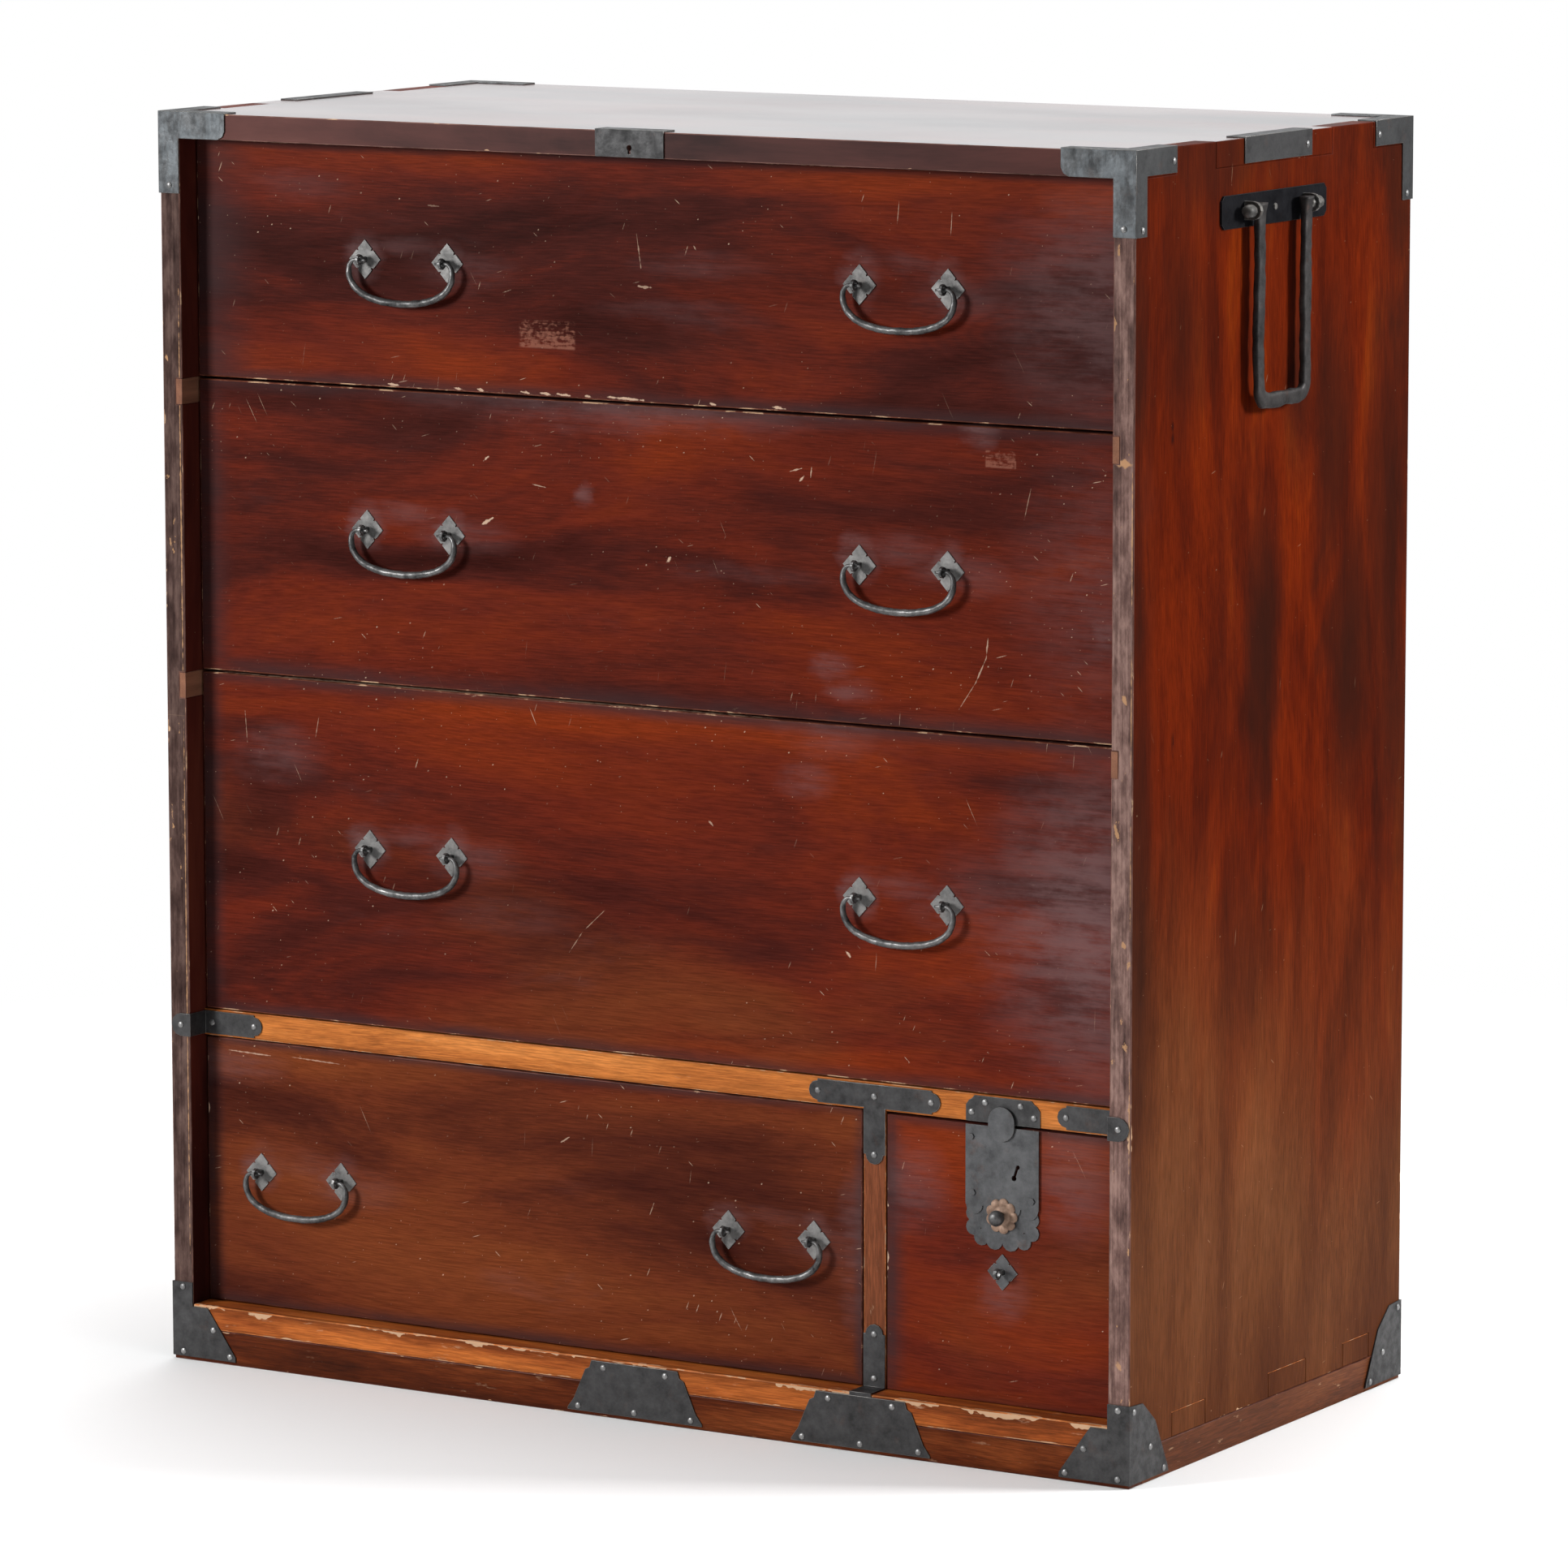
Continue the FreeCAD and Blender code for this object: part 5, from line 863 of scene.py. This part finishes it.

# Besides the helpers' spots, each front lists its own spots of painted sheen: middle across and up, half
# width, half height, strength
fronts = {
    "top_drawer": front_material(
        "top_drawer", 1.0, -0.012, ((1.012, 0.034, 0.130), (0.832, 0.040, 0.085), (0.935, 0.060, -0.040)),
        diamond_sheen_spots("top_drawer", 0.50) + right_edge_sheen("top_drawer_front", 0.42, 0.13)
        + [
            ((0.05, 0.935), 0.08, 0.016, 0.16), ((0.03, 0.893), 0.10, 0.012, 0.14),
            ((-0.33, 0.985), 0.07, 0.016, 0.14),
        ],
        (1.0, 0.4, 0.6, 0.4), marks_share=1.3, figure=((0.345, 0.893), 0.15, 0.05),
        shades=(((-0.10, 0.930), 0.26, 0.070, 0.026), ((0.10, 0.900), 0.22, 0.050, 0.018)), left_rim=70 * MM,
        strokes=(
            (-8, 957, -4, 930, 1.8, 0.5), (-7, 915.5, 6, 915, 3.4, 0.6),
            (-207, 972, -196, 971.5, 3.0, 0.3), (45, 950, 48, 946, 3.0, 0.6),
            (-300, 823.8, 0, 823.8, 1.4, 0.45),
        ) + chips_along(825.5, (
            (-247, 11), (-183, 8), (-160, 6), (-118, 8), (-100, 10), (-84, 13),
            (-57, 6), (-36, 34), (60, 5), (118, 12),
        )),
        patches=(((-0.093, 0.873), (0.054, 0.023), 0.55),),
    ),
    "second_drawer": front_material(
        "second_drawer", 11.0, 0.014, ((0.634, 0.050, 0.055), (0.700, 0.040, -0.020), (0.760, 0.05, 0.015)),
        diamond_sheen_spots("second_drawer", 0.62) + right_edge_sheen("second_drawer_front", 0.24)
        + top_edge_sheen("second_drawer_front", -0.02, 0.26, 0.30)
        + [
            ((0.305, 0.816), 0.022, 0.020, 0.62), ((0.170, 0.620), 0.024, 0.016, 0.40),
            ((0.190, 0.602), 0.030, 0.013, 0.34), ((-0.058, 0.744), 0.011, 0.015, 0.40),
            ((0.10, 0.690), 0.10, 0.012, 0.14), ((0.420, 0.664), 0.026, 0.030, 0.42),
        ],
        (1.0, 0.4, 0.8, 0.6), marks_share=2.2, left_rim=36 * MM,
        shades=(((-0.36, 0.70), 0.22, 0.14, 0.030),),
        strokes=SECOND_DRAWER_MARKS + (
            (-157, 716.5, -146, 722.5, 4.2, 1.0), (19, 697, 22.5, 700.5, 4.6, 1.0),
            (314, 656, 312.5, 640, 1.9, 0.7), (312.5, 640, 303, 620, 1.7, 0.65),
            (303, 620, 288, 598, 1.3, 0.5), (352, 775, 346, 750, 1.2, 0.4),
        ),
        patches=(((0.325, 0.796), (0.028, 0.014), 0.5),),
    ),
    "third_drawer": front_material(
        "third_drawer", 23.0, 0.036, ((0.565, 0.030, 0.045), (0.330, 0.070, 0.030), (0.43, 0.060, -0.015)),
        diamond_sheen_spots("third_drawer", 0.58) + right_edge_sheen("third_drawer_front", 0.66, 0.14)
        + top_edge_sheen("third_drawer_front", 0.17, 0.06, 0.26)
        + [
            ((0.34, 0.45), 0.11, 0.06, 0.22), ((0.15, 0.535), 0.035, 0.022, 0.28),
            ((-0.36, 0.515), 0.06, 0.030, 0.26), ((-0.13, 0.40), 0.08, 0.02, 0.12),
        ],
        (1.0, 0.4, 0.6, 0.6), marks_share=1.5, aged=0.16, left_rim=26 * MM,
        shades=(((-0.38, 0.42), 0.24, 0.17, 0.065), ((-0.30, 0.560), 0.16, 0.030, 0.030)),
        strokes=(
            (-430, 577.8, 120, 577.8, 1.5, 0.8), (-392, 548, -390, 522, 1.2, 0.4),
            (-318, 549, -322, 530, 1.2, 0.45), (-112, 571, -105, 556, 1.2, 0.5),
            (185, 398, 189, 394, 4.0, 0.9), (-40, 412, -62, 392, 1.2, 0.45),
            (-62, 392, -75, 374, 1.1, 0.40), (58, 492, 62, 488, 3.2, 0.6),
        ),
    ),
    "bottom_drawer": front_material(
        "bottom_drawer", 37.0, 0.034, ((0.262, 0.024, 0.085), (0.185, 0.050, 0.020), (0.090, 0.040, 0.020)),
        diamond_sheen_spots("bottom_drawer", 0.36)
        + [
            ((0.195, 0.16), 0.022, 0.09, 0.26), ((-0.40, 0.250), 0.06, 0.024, 0.22),
            ((-0.13, 0.095), 0.05, 0.015, 0.12),
        ],
        (1.0, 0.5, 0.6, 0.4), marks_share=1.6, aged=0.40, left_rim=14 * MM,
        strokes=(
            (-76, 222, -84, 217, 2.2, 0.6), (-412, 262, -370, 261, 2.0, 0.6),
            (5, 176, 1, 166, 1.4, 0.5), (-350, 262, -300, 260.5, 1.6, 0.5),
        ),
    ),
}
fronts["door"] = lacquered_front(
    "door_lacquer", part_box("door_panel"), 51.0, 0.140, (),
    [
        ((0.395, 0.235), 0.05, 0.07, 0.34), ((0.250, 0.215), 0.04, 0.05, 0.30),
        ((0.329, 0.137), 0.03, 0.03, 0.30),
    ],
    (1.0, 0.4, 0.6, 0.5), aged=0.20, left_rim=16 * MM,
)

ORANGE = ((0.34, (0.22, 0.056, 0.012)), (0.50, (0.44, 0.140, 0.030)), (0.66, (0.56, 0.205, 0.052)))
BAND = ((0.36, (0.070, 0.015, 0.005)), (0.46, (0.24, 0.055, 0.011)), (0.60, (0.46, 0.130, 0.026)))
BASE = ((0.34, (0.022, 0.0050, 0.0022)), (0.50, (0.082, 0.0155, 0.0038)), (0.66, (0.19, 0.046, 0.0110)))
POST = ((0.34, (0.070, 0.0190, 0.0080)), (0.52, (0.180, 0.0540, 0.0220)), (0.68, (0.28, 0.100, 0.044)))
TOP = ((0.36, (0.026, 0.0080, 0.0070)), (0.52, (0.085, 0.0270, 0.0220)), (0.68, (0.150, 0.055, 0.045)))
RUNNER = ((0.34, (0.034, 0.0100, 0.0040)), (0.52, (0.095, 0.0270, 0.0090)), (0.68, (0.15, 0.050, 0.018)))

looks = {
    "side_right": lacquered_side("side_lacquer_right", right_box, 1.0, 3.0),
    "side_left": lacquered_side("side_lacquer_left", left_box, -1.0, 14.0),
    "rail": lacquered_rail(
        "amber_rail", "x", ORANGE, 5.0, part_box("middle_rail"), (1.0, 1.0, 0.5, 0.4), scuff=0.2,
    ),
    "band": lacquered_rail(
        "amber_band", "x", BAND, 8.0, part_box("bottom_board"), (1.0, 1.0, 0.5, 1.6), rough=0.42,
        chipped=(0.46, 0.66),
    ),
    "base": lacquered_rail(
        "base_lacquer", "x", BASE, 9.0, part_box("base_front"), (1.0, 1.0, 1.0, 0.7), scuff=0.3,
    ),
    "runner": lacquered_rail("runner_lacquer", "y", RUNNER, 10.0, scuff=0.6, rough=0.45),
    "post": lacquered_rail("post_lacquer", "z", POST, 12.0, scuff=0.4),
    "top": polished_top("top_lacquer_gloss", TOP, 13.0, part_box("top_board")),
    "bare_x": bare_wood("bare_wood_across", "x", (0.40, 0.235, 0.115), (0.20, 0.10, 0.045), 2.0),
    "bare_y": bare_wood("bare_wood_deep", "y", (0.42, 0.25, 0.125), (0.22, 0.115, 0.05), 6.0),
    "bare_z": bare_wood("bare_wood_upright", "z", (0.34, 0.19, 0.09), (0.15, 0.075, 0.035), 7.0),
    "back": bare_wood("back_boards", "z", (0.30, 0.165, 0.078), (0.125, 0.060, 0.028), 9.0,
                      (back_box[0].x, back_box[1].x, BACK_BOARD_COUNT)),
    "plug": bare_wood("plug_wood", "y", (0.26, 0.112, 0.062), (0.10, 0.036, 0.020), 17.0),
    "red_edge": worn_edge("red_edge", "x", (0.045, 0.011, 0.006), 4.0, 0.3),
    "red_edge_chipped": worn_edge("red_edge_chipped", "x", (0.060, 0.014, 0.006), 4.5, 0.75),
    "side_edge": worn_edge("side_edge", "z", (0.075, 0.034, 0.026), 5.0, 0.45),
    "amber_edge": worn_edge("amber_edge", "x", (0.25, 0.075, 0.018), 6.0, 0.9),
    "top_edge": worn_edge("top_edge", "x", (0.075, 0.035, 0.028), 7.0, 0.3),
    "iron": old_iron("sheet_iron_dark", (0.020, 0.0195, 0.020), (0.060, 0.059, 0.060), 1.0, rust=0.10),
    "iron_rim": old_iron(
        "sheet_iron_rim", (0.09, 0.088, 0.085), (0.22, 0.21, 0.20), 2.0, rust=0.2, rough=(0.34, 0.5),
        metal=0.7,
    ),
    "cap": old_iron("corner_cap_iron", (0.018, 0.018, 0.019), (0.062, 0.063, 0.064), 21.0, rust=0.12,
                    front_sheen=(0.105, 0.116, 0.124)),
    "nail": old_iron(
        "nail_iron", (0.11, 0.11, 0.111), (0.32, 0.317, 0.312), 3.0, rust=0.15, rough=(0.34, 0.5), metal=0.6,
    ),
    "forged": old_iron("forged_iron_skin", (0.010, 0.010, 0.011), (0.200, 0.197, 0.194), 4.0, rust=0.06,
                       rough=(0.32, 0.58), metal=0.60, pitting=1.0, gloss=0.25),
    "diamond": old_iron("diamond_plate_skin", (0.075, 0.073, 0.072), (0.235, 0.228, 0.220), 14.0, rust=0.10,
                        rough=(0.45, 0.65), metal=0.35, pitting=0.7),
    "diamond_rim": old_iron("diamond_plate_rim", (0.24, 0.235, 0.23), (0.46, 0.45, 0.43), 15.0, rust=0.1,
                            rough=(0.40, 0.55), metal=0.35),
    "pole": old_iron(
        "pole_iron", (0.011, 0.010, 0.010), (0.058, 0.053, 0.052), 5.0, rust=0.16, metal=0.35, pitting=0.9,
        gloss=0.15,
    ),
    "pole_worn": old_iron(
        "pole_iron_worn", (0.045, 0.043, 0.041), (0.20, 0.19, 0.175), 25.0, rust=0.15, metal=0.4, pitting=0.9,
    ),
    "pole_sheet": old_iron(
        "pole_plate_skin", (0.004, 0.004, 0.005), (0.012, 0.012, 0.014), 15.5, rust=0.03, rough=(0.55, 0.70),
        metal=0.0, gloss=0.02,
    ),
    "lock": old_iron("lock_iron_skin", (0.042, 0.043, 0.045), (0.100, 0.101, 0.104), 6.0, rust=0.16),
    "rusty": old_iron(
        "rusty_iron_skin", (0.13, 0.076, 0.052), (0.44, 0.290, 0.205), 7.0, rust=0.60, rough=(0.50, 0.70),
        metal=0.2,
    ),
}

for node, look in {
    "back_panel": "back", "partition": "bare_z", "dust_panels": "bare_x", "dividers": "bare_x",
    "inner_floor": "bare_y", "inner_shelf": "bare_y", "lower_inner_drawer": "bare_x",
    "upper_inner_drawer": "bare_x", "top_lock_case": "iron", "lock_case": "iron", "lock_bolt": "iron",
    "top_lock_bolt": "iron", "lower_inner_drawer_pull": "iron", "upper_inner_drawer_pull": "iron",
    "top_drawer_box": "bare_y", "second_drawer_box": "bare_y", "third_drawer_box": "bare_y",
    "bottom_drawer_box": "bare_y",
}.items():
    data = nodes[node].data
    data.materials.clear()
    data.materials.append(looks[look])

# Boards
def finger_ends(mesh):
    """The ends of a board's fingers show in the sides, and have the sides' lacquer up to its own edges."""
    mesh.materials.append(looks["side_left"])
    mesh.materials.append(looks["side_right"])
    head = max(vert.co.z for vert in mesh.vertices) - 1.2 * MM
    for face in mesh.polygons:
        if abs(face.center.x) > inner_right + 1 * MM and abs(face.center.y) < abs(front_plane) - 1 * MM:
            if abs(face.normal.z) < 0.5 or (
                abs(face.center.x) > right_box[1].x - 1.2 * MM and face.center.z < head
            ):
                face.material_index = 2 if face.center.x < 0 else 3


def side_fingers(mesh):
    """The edges between a side's fingers aren't worn: only its front and back edges are."""
    for face in mesh.polygons:
        if abs(face.center.y) < abs(front_plane) - 1.5 * MM:
            face.material_index = 0


for node, look, edge_look, width in (
    ("top_board", "top", "top_edge", 1.0), ("left_side", "side_left", "side_edge", 0.9),
    ("right_side", "side_right", "side_edge", 0.9), ("bottom_board", "band", "amber_edge", 1.0),
    ("middle_rail", "rail", "amber_edge", 0.5), ("base_front", "base", "red_edge", 0.8),
    ("base_runners", "runner", "red_edge", 0.6), ("divider_post", "post", "amber_edge", 0.5),
    ("dado_plugs", "plug", "side_edge", 0.2),
):
    piece = softened_copy(node, [looks[look], looks[edge_look]], width * MM)
    if node in ("top_board", "bottom_board"):
        finger_ends(piece.data)
    if node in ("left_side", "right_side"):
        side_fingers(piece.data)
for drawer, edge_look in (
    ("top_drawer", "red_edge_chipped"), ("second_drawer", "red_edge_chipped"),
    ("third_drawer", "red_edge_chipped"), ("bottom_drawer", "red_edge"),
):
    softened_copy(f"{drawer}_front", [fronts[drawer], looks[edge_look]], 1.1 * MM, hollows=False)
softened_copy("door_panel", [fronts["door"], looks["red_edge"]], 0.9 * MM)

# Sheet irons
softened_copy("top_corner_caps", [looks["cap"], looks["iron_rim"]], 0.35 * MM)
for node in ("top_edge_plates", "top_lock_plate", "rail_straps", "t_plate", "strike_plate",
             "base_corner_caps", "base_plates"):
    softened_copy(node, [looks["iron"], looks["iron_rim"]], 0.35 * MM)


def pull_fittings(node, plate_look="diamond"):
    """Pale diamonds with bright worn edges, and dark split pins whose eyes stand out of them."""
    mesh = soften(node_mesh(node), 0.45 * MM, 2)
    for group in islands(mesh):
        if max(vert.co.y for vert in group) - min(vert.co.y for vert in group) > 4 * MM:
            for vert in group:
                for face in vert.link_faces:
                    face.material_index = 2
    materials = [looks[plate_look], looks["diamond_rim"], looks["forged"]]
    add_piece(f"{node}_worn", mesh, materials, bodies[node], (node,))


def handle_plates(node):
    """Dark sheet plates with worn edges. Their eyes and nails are paler."""
    mesh = soften(node_mesh(node), 0.45 * MM, 2)
    for face in mesh.faces:
        if abs(face.calc_center_median().x) > right_box[1].x + POLE_PLATE_THICKNESS + 0.3 * MM:
            face.material_index = 2
    add_piece(
        f"{node}_worn", mesh, [looks["pole_sheet"], looks["iron"], looks["pole_worn"]], bodies[node],
        (node,),
    )


for drawer in drawer_names:
    pull_fittings(f"{drawer}_fittings")
pull_fittings("door_pull", "lock")
handle_plates("side_handle_plates")
softened_copy("lock_plate", [looks["lock"], looks["iron_rim"]], 0.3 * MM)


# Nails
def nail_heads():
    mesh = bmesh.new()
    for k, (low, high) in enumerate(island_boxes("case_nails")):
        middle, size = (low + high) / 2, high - low
        axis = min(range(3), key=lambda a: size[a])
        out = Vector((0, 0, 0))
        out[axis] = math.copysign(1, middle[axis])
        foot = middle - out * size[axis] / 2
        tall, radius = size[axis], max(size) / 2
        profile = (
            (0.0, radius), (0.35 * tall, 0.97 * radius), (0.72 * tall, 0.74 * radius),
            (0.94 * tall, 0.4 * radius), (tall, 0.1 * radius),
        )
        turned(mesh, profile, foot, out, 14, 0.05, k)
    add_piece("nail_heads", mesh, [looks["nail"]], "case", ("case_nails",))


nail_heads()


# Bail handles
def bail_section(share):
    """Half widths of the forged rod: thin tips, then full shoulders and a fuller middle."""
    from_end = min(share, 1 - share)
    if from_end < 0.075:
        radius = 1.0 + 0.56 * from_end / 0.075
    elif from_end < 0.14:
        radius = 1.56 + 0.84 * (from_end - 0.075) / 0.065
    else:
        radius = 2.4 + 0.5 * min(1.0, (from_end - 0.14) / 0.24)
    return radius * MM, radius * MM


def bail(name, seed):
    """A bail whose thin tips pass in through the eyes."""
    middle = bail_middle(name)
    left = [Vector((x * MM, 0, z * MM)) for x, z in BAIL_LINE]
    right = [Vector((-point.x, 0, point.z)) for point in reversed(left[:-1])]
    path = [middle + point for point in bent_path(left + right, 88)]
    mesh = forged_bar(path, bail_section, Vector((0, 1, 0)), 14, 2.2, 0.16, 260, seed)
    add_piece(f"{name}_forged", mesh, [looks["forged"]], bodies[name], (name,))


for seed, drawer in enumerate(drawer_names):
    for side in ("left", "right"):
        bail(f"{drawer}_{side}_bail", seed * 2.0 + (side == "left"))


# Carrying-pole handles
def pole_handle(name, sign):
    """A U of hammered flat bar, with a round pin that turns out from each leg's top into its eye."""
    low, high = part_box(name)
    middle = (low + high) / 2
    x = middle.x
    pivot = high.z - POLE_BAR_WIDTH / 2
    foot = low.z + POLE_BAR_WIDTH / 2
    outer = high.y - middle.y - POLE_PIN_REACH
    leg = outer - POLE_BAR_WIDTH / 2
    corner = 12.0 * MM
    bend = (0.6 * MM, -0.9 * MM, 0.5 * MM)
    half = [
        (-leg, pivot + 5.6 * MM), (-leg, pivot - 8 * MM), (-leg + bend[0], pivot - 50 * MM),
        (-leg + bend[1], pivot - 100 * MM), (-leg + bend[2], foot + corner),
        (-leg + 0.30 * corner, foot + 0.30 * corner), (-leg + corner, foot),
    ]
    rest = [(-y, z) for y, z in reversed(half)]
    rest[3] = (rest[3][0] - 1.6 * MM, rest[3][1])
    path = [Vector((x, middle.y + y, z)) for y, z in half + [(0.0, foot - 0.4 * MM)] + rest]

    def section(share):
        from_end = min(share, 1 - share)
        top = max(0.0, 1 - from_end / 0.035)
        deep = POLE_BAR_THICKNESS / 2 + top ** 2 * 1.9 * MM
        wide = POLE_BAR_WIDTH / 2 * (0.94 + 0.05 * math.sin(share * 31 + 1) + 0.03 * math.sin(share * 83))
        return deep, wide

    mesh = forged_bar(bent_path(path, 150), section, Vector((sign, 0, 0)), 20, 4.5, 0.14, 120)
    for side in (-1, 1):
        start = Vector((x, middle.y + side * (outer - 3 * MM), pivot))
        full = POLE_PIN_REACH + 3 * MM
        profile = [
            (0.0, 3.6 * MM), (2.5 * MM, 4.4 * MM), (5.0 * MM, 0.93 * POLE_PIN_RADIUS),
            (0.70 * full, POLE_PIN_RADIUS), (0.86 * full, 0.94 * POLE_PIN_RADIUS),
            (0.95 * full, 0.72 * POLE_PIN_RADIUS), (full, 0.35 * POLE_PIN_RADIUS),
        ]
        before = set(mesh.faces)
        turned(mesh, profile, start, Vector((0, side, 0)), 20, 0.05, 7)
        for face in set(mesh.faces) - before:
            face.material_index = 1
    add_piece(f"{name}_forged", mesh, [looks["pole"], looks["pole_worn"]], bodies[name], (name,))


pole_handle("right_side_handle", 1)
pole_handle("left_side_handle", -1)


# Lock furniture on the door
def rosette():
    """A flower of domed petals round a raised boss."""
    low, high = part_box("lock_rosette")
    centre = Vector(((low.x + high.x) / 2, high.y, (low.z + high.z) / 2))
    radius, tall = (high.x - low.x) / 2, high.y - low.y
    petals, sides, rings = 9, 108, 16
    inner = 3.5 * MM
    mesh = bmesh.new()
    grid = []
    for ring in range(rings + 1):
        share = ring / rings
        row = []
        for k in range(sides):
            angle = math.tau * k / sides
            lobe = abs(math.cos(petals * angle / 2))
            rim = radius * (0.84 + 0.16 * lobe ** 0.6)
            reach = inner + (rim - inner) * share
            out_share = reach / radius
            petal = max(
                0.0, math.sin(math.pi * min(1.0, max(0.0, (out_share - 0.52) / 0.48))),
            ) * (0.35 + 0.65 * lobe)
            boss = math.cos(min(1.0, out_share / 0.55) * math.pi / 2)
            height = tall * (0.18 + 0.42 * petal * (share < 0.999) + 0.8 * boss)
            if ring == rings:
                height = tall * 0.12
            row.append(
                mesh.verts.new(
                    centre + Vector((reach * math.cos(angle), -min(height, tall), reach * math.sin(angle)))
                )
            )
        grid.append(row)
    back = [mesh.verts.new(Vector((vert.co.x, centre.y, vert.co.z))) for vert in grid[-1]]
    bore = [mesh.verts.new(Vector((vert.co.x, centre.y, vert.co.z))) for vert in grid[0]]
    bridge(mesh, grid + [back, bore, grid[0]])
    bmesh.ops.recalc_face_normals(mesh, faces=mesh.faces)
    add_piece("rosette_petals", mesh, [looks["rusty"]], "door", ("lock_rosette",))


def knob():
    """The lock's turned knob on its spindle, with the cam behind the door."""
    low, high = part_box("lock_knob")
    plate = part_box("lock_rosette")[1].y
    x, z = (low.x + high.x) / 2, (low.z + high.z) / 2
    head, deep = plate - low.y, high.y - plate
    profile = [
        (-deep, 2.4 * MM), (2.7 * MM, 2.4 * MM), (2.9 * MM, 3.1 * MM), (head - 10.5 * MM, 3.1 * MM),
        (head - 9.6 * MM, 4.6 * MM), (head - 7.0 * MM, 6.1 * MM), (head - 4.0 * MM, 6.3 * MM),
        (head - 1.6 * MM, 5.2 * MM), (head - 0.4 * MM, 3.4 * MM), (head, 1.2 * MM),
    ]
    mesh = turned(bmesh.new(), profile, Vector((x, plate, z)), Vector((0, -1, 0)), 22, 0.03, 5)
    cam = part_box("lock_case")
    cam_start = cam[0].y + 7.6 * MM - plate
    turned(
        mesh, [(-cam_start - 2.8 * MM, 5.8 * MM), (-cam_start, 5.8 * MM)], Vector((x, plate, z)),
        Vector((0, -1, 0)), 20,
    )
    add_piece("knob_turned", mesh, [looks["forged"]], "lock_knob", ("lock_knob",))


rosette()
knob()


# Studio
def pale_floor():
    """A white disc under the chest that fades out before it would draw a horizon."""
    mesh = bmesh.new()
    rings, sides = 24, 64
    rows = []
    for ring in range(1, rings + 1):
        radius = FLOOR_RADIUS * (ring / rings) ** 1.3
        turns = [math.tau * k / sides for k in range(sides)]
        rows.append(
            [mesh.verts.new((radius * math.cos(turn), radius * math.sin(turn), 0.0)) for turn in turns]
        )
    mesh.faces.new(rows[0])
    bridge(mesh, rows[::-1], smooth=False)
    data = bpy.data.meshes.new("floor")
    mesh.to_mesh(data)
    mesh.free()
    floor = bpy.data.objects.new("floor", data)
    bpy.context.scene.collection.objects.link(floor)
    n = Surface("pale_floor")
    far = n.math("SQRT", n.x * n.x + n.y * n.y)
    n.set(Base_Color=(0.95, 0.95, 0.95), Roughness=1.0, Specular_IOR_Level=0.0,
          Alpha=n.step(far, FLOOR_RADIUS * 0.55, FLOOR_RADIUS * 0.98, 1.0, 0.0))
    data.materials.append(n.material)


def studio_air():
    """A dim room with a bright wall behind the chest for its top to reflect, against a white background."""
    world = bpy.data.worlds.new("studio_air")
    bpy.context.scene.world = world
    n = Nodes(world)
    room = n.tree.nodes["Background"]
    seen = n.add("ShaderNodeBackground")
    mixer = n.add("ShaderNodeMixShader")
    path = n.add("ShaderNodeLightPath")
    x, y, z = n.split(n.out(n.add("ShaderNodeTexCoord"), "Generated"))
    wall = n.step(x, 0.30, -0.10) * n.step(y, 0.25, 0.7) * n.step(z, -0.03, 0.05)
    strength = n.add("ShaderNodeMapRange")
    n.feed_all(strength, Value=wall, To_Min=ROOM_STRENGTH, To_Max=WALL_STRENGTH)
    n.feed_all(room, Color=(0.965, 0.985, 1.0), Strength=n.out(strength))
    n.feed_all(seen, Color=(1.0, 1.0, 1.0), Strength=1.0)
    for k, value in enumerate((n.out(path, "Is Camera Ray"), n.out(room), n.out(seen))):
        n.feed(mixer.inputs[k], value)
    n.feed(n.tree.nodes["World Output"].inputs["Surface"], n.out(mixer))


def soft_light(name, place, aim, width, height, power):
    light = bpy.data.lights.new(name, "AREA")
    light.shape = "RECTANGLE"
    light.size, light.size_y, light.energy = width, height, power
    lamp = bpy.data.objects.new(name, light)
    lamp.location = place
    lamp.rotation_euler = (Vector(aim) - Vector(place)).to_track_quat("-Z", "Y").to_euler()
    bpy.context.scene.collection.objects.link(lamp)


def camera():
    data = bpy.data.cameras.new("photo_camera")
    data.lens = CAMERA_LENS
    data.sensor_width = CAMERA_SENSOR
    data.clip_end = 100.0
    eye = bpy.data.objects.new("photo_camera", data)
    yaw = Matrix.Rotation(math.radians(CAMERA_YAW), 4, "Z")
    pitch = Matrix.Rotation(math.radians(90 + CAMERA_PITCH), 4, "X")
    roll = Matrix.Rotation(math.radians(CAMERA_ROLL), 4, "Z")
    eye.matrix_world = Matrix.Translation(CAMERA_PLACE) @ yaw @ pitch @ roll
    bpy.context.scene.collection.objects.link(eye)
    bpy.context.scene.camera = eye
    bpy.context.scene.view_settings.view_transform = "Standard"


pale_floor()
studio_air()
soft_light("key_softbox", (-3.0, -4.2, 1.95), (0.0, 0.0, 0.5), 1.3, 1.3, 270.0)
soft_light("side_softbox", (4.2, 2.2, 2.3), (0.3, 0.0, 0.5), 1.2, 1.2, 280.0)
soft_light("top_softbox", (0.0, 0.6, 4.2), (0.0, 0.0, 0.5), 3.0, 3.0, 150.0)
camera()

bpy.context.view_layer.update()
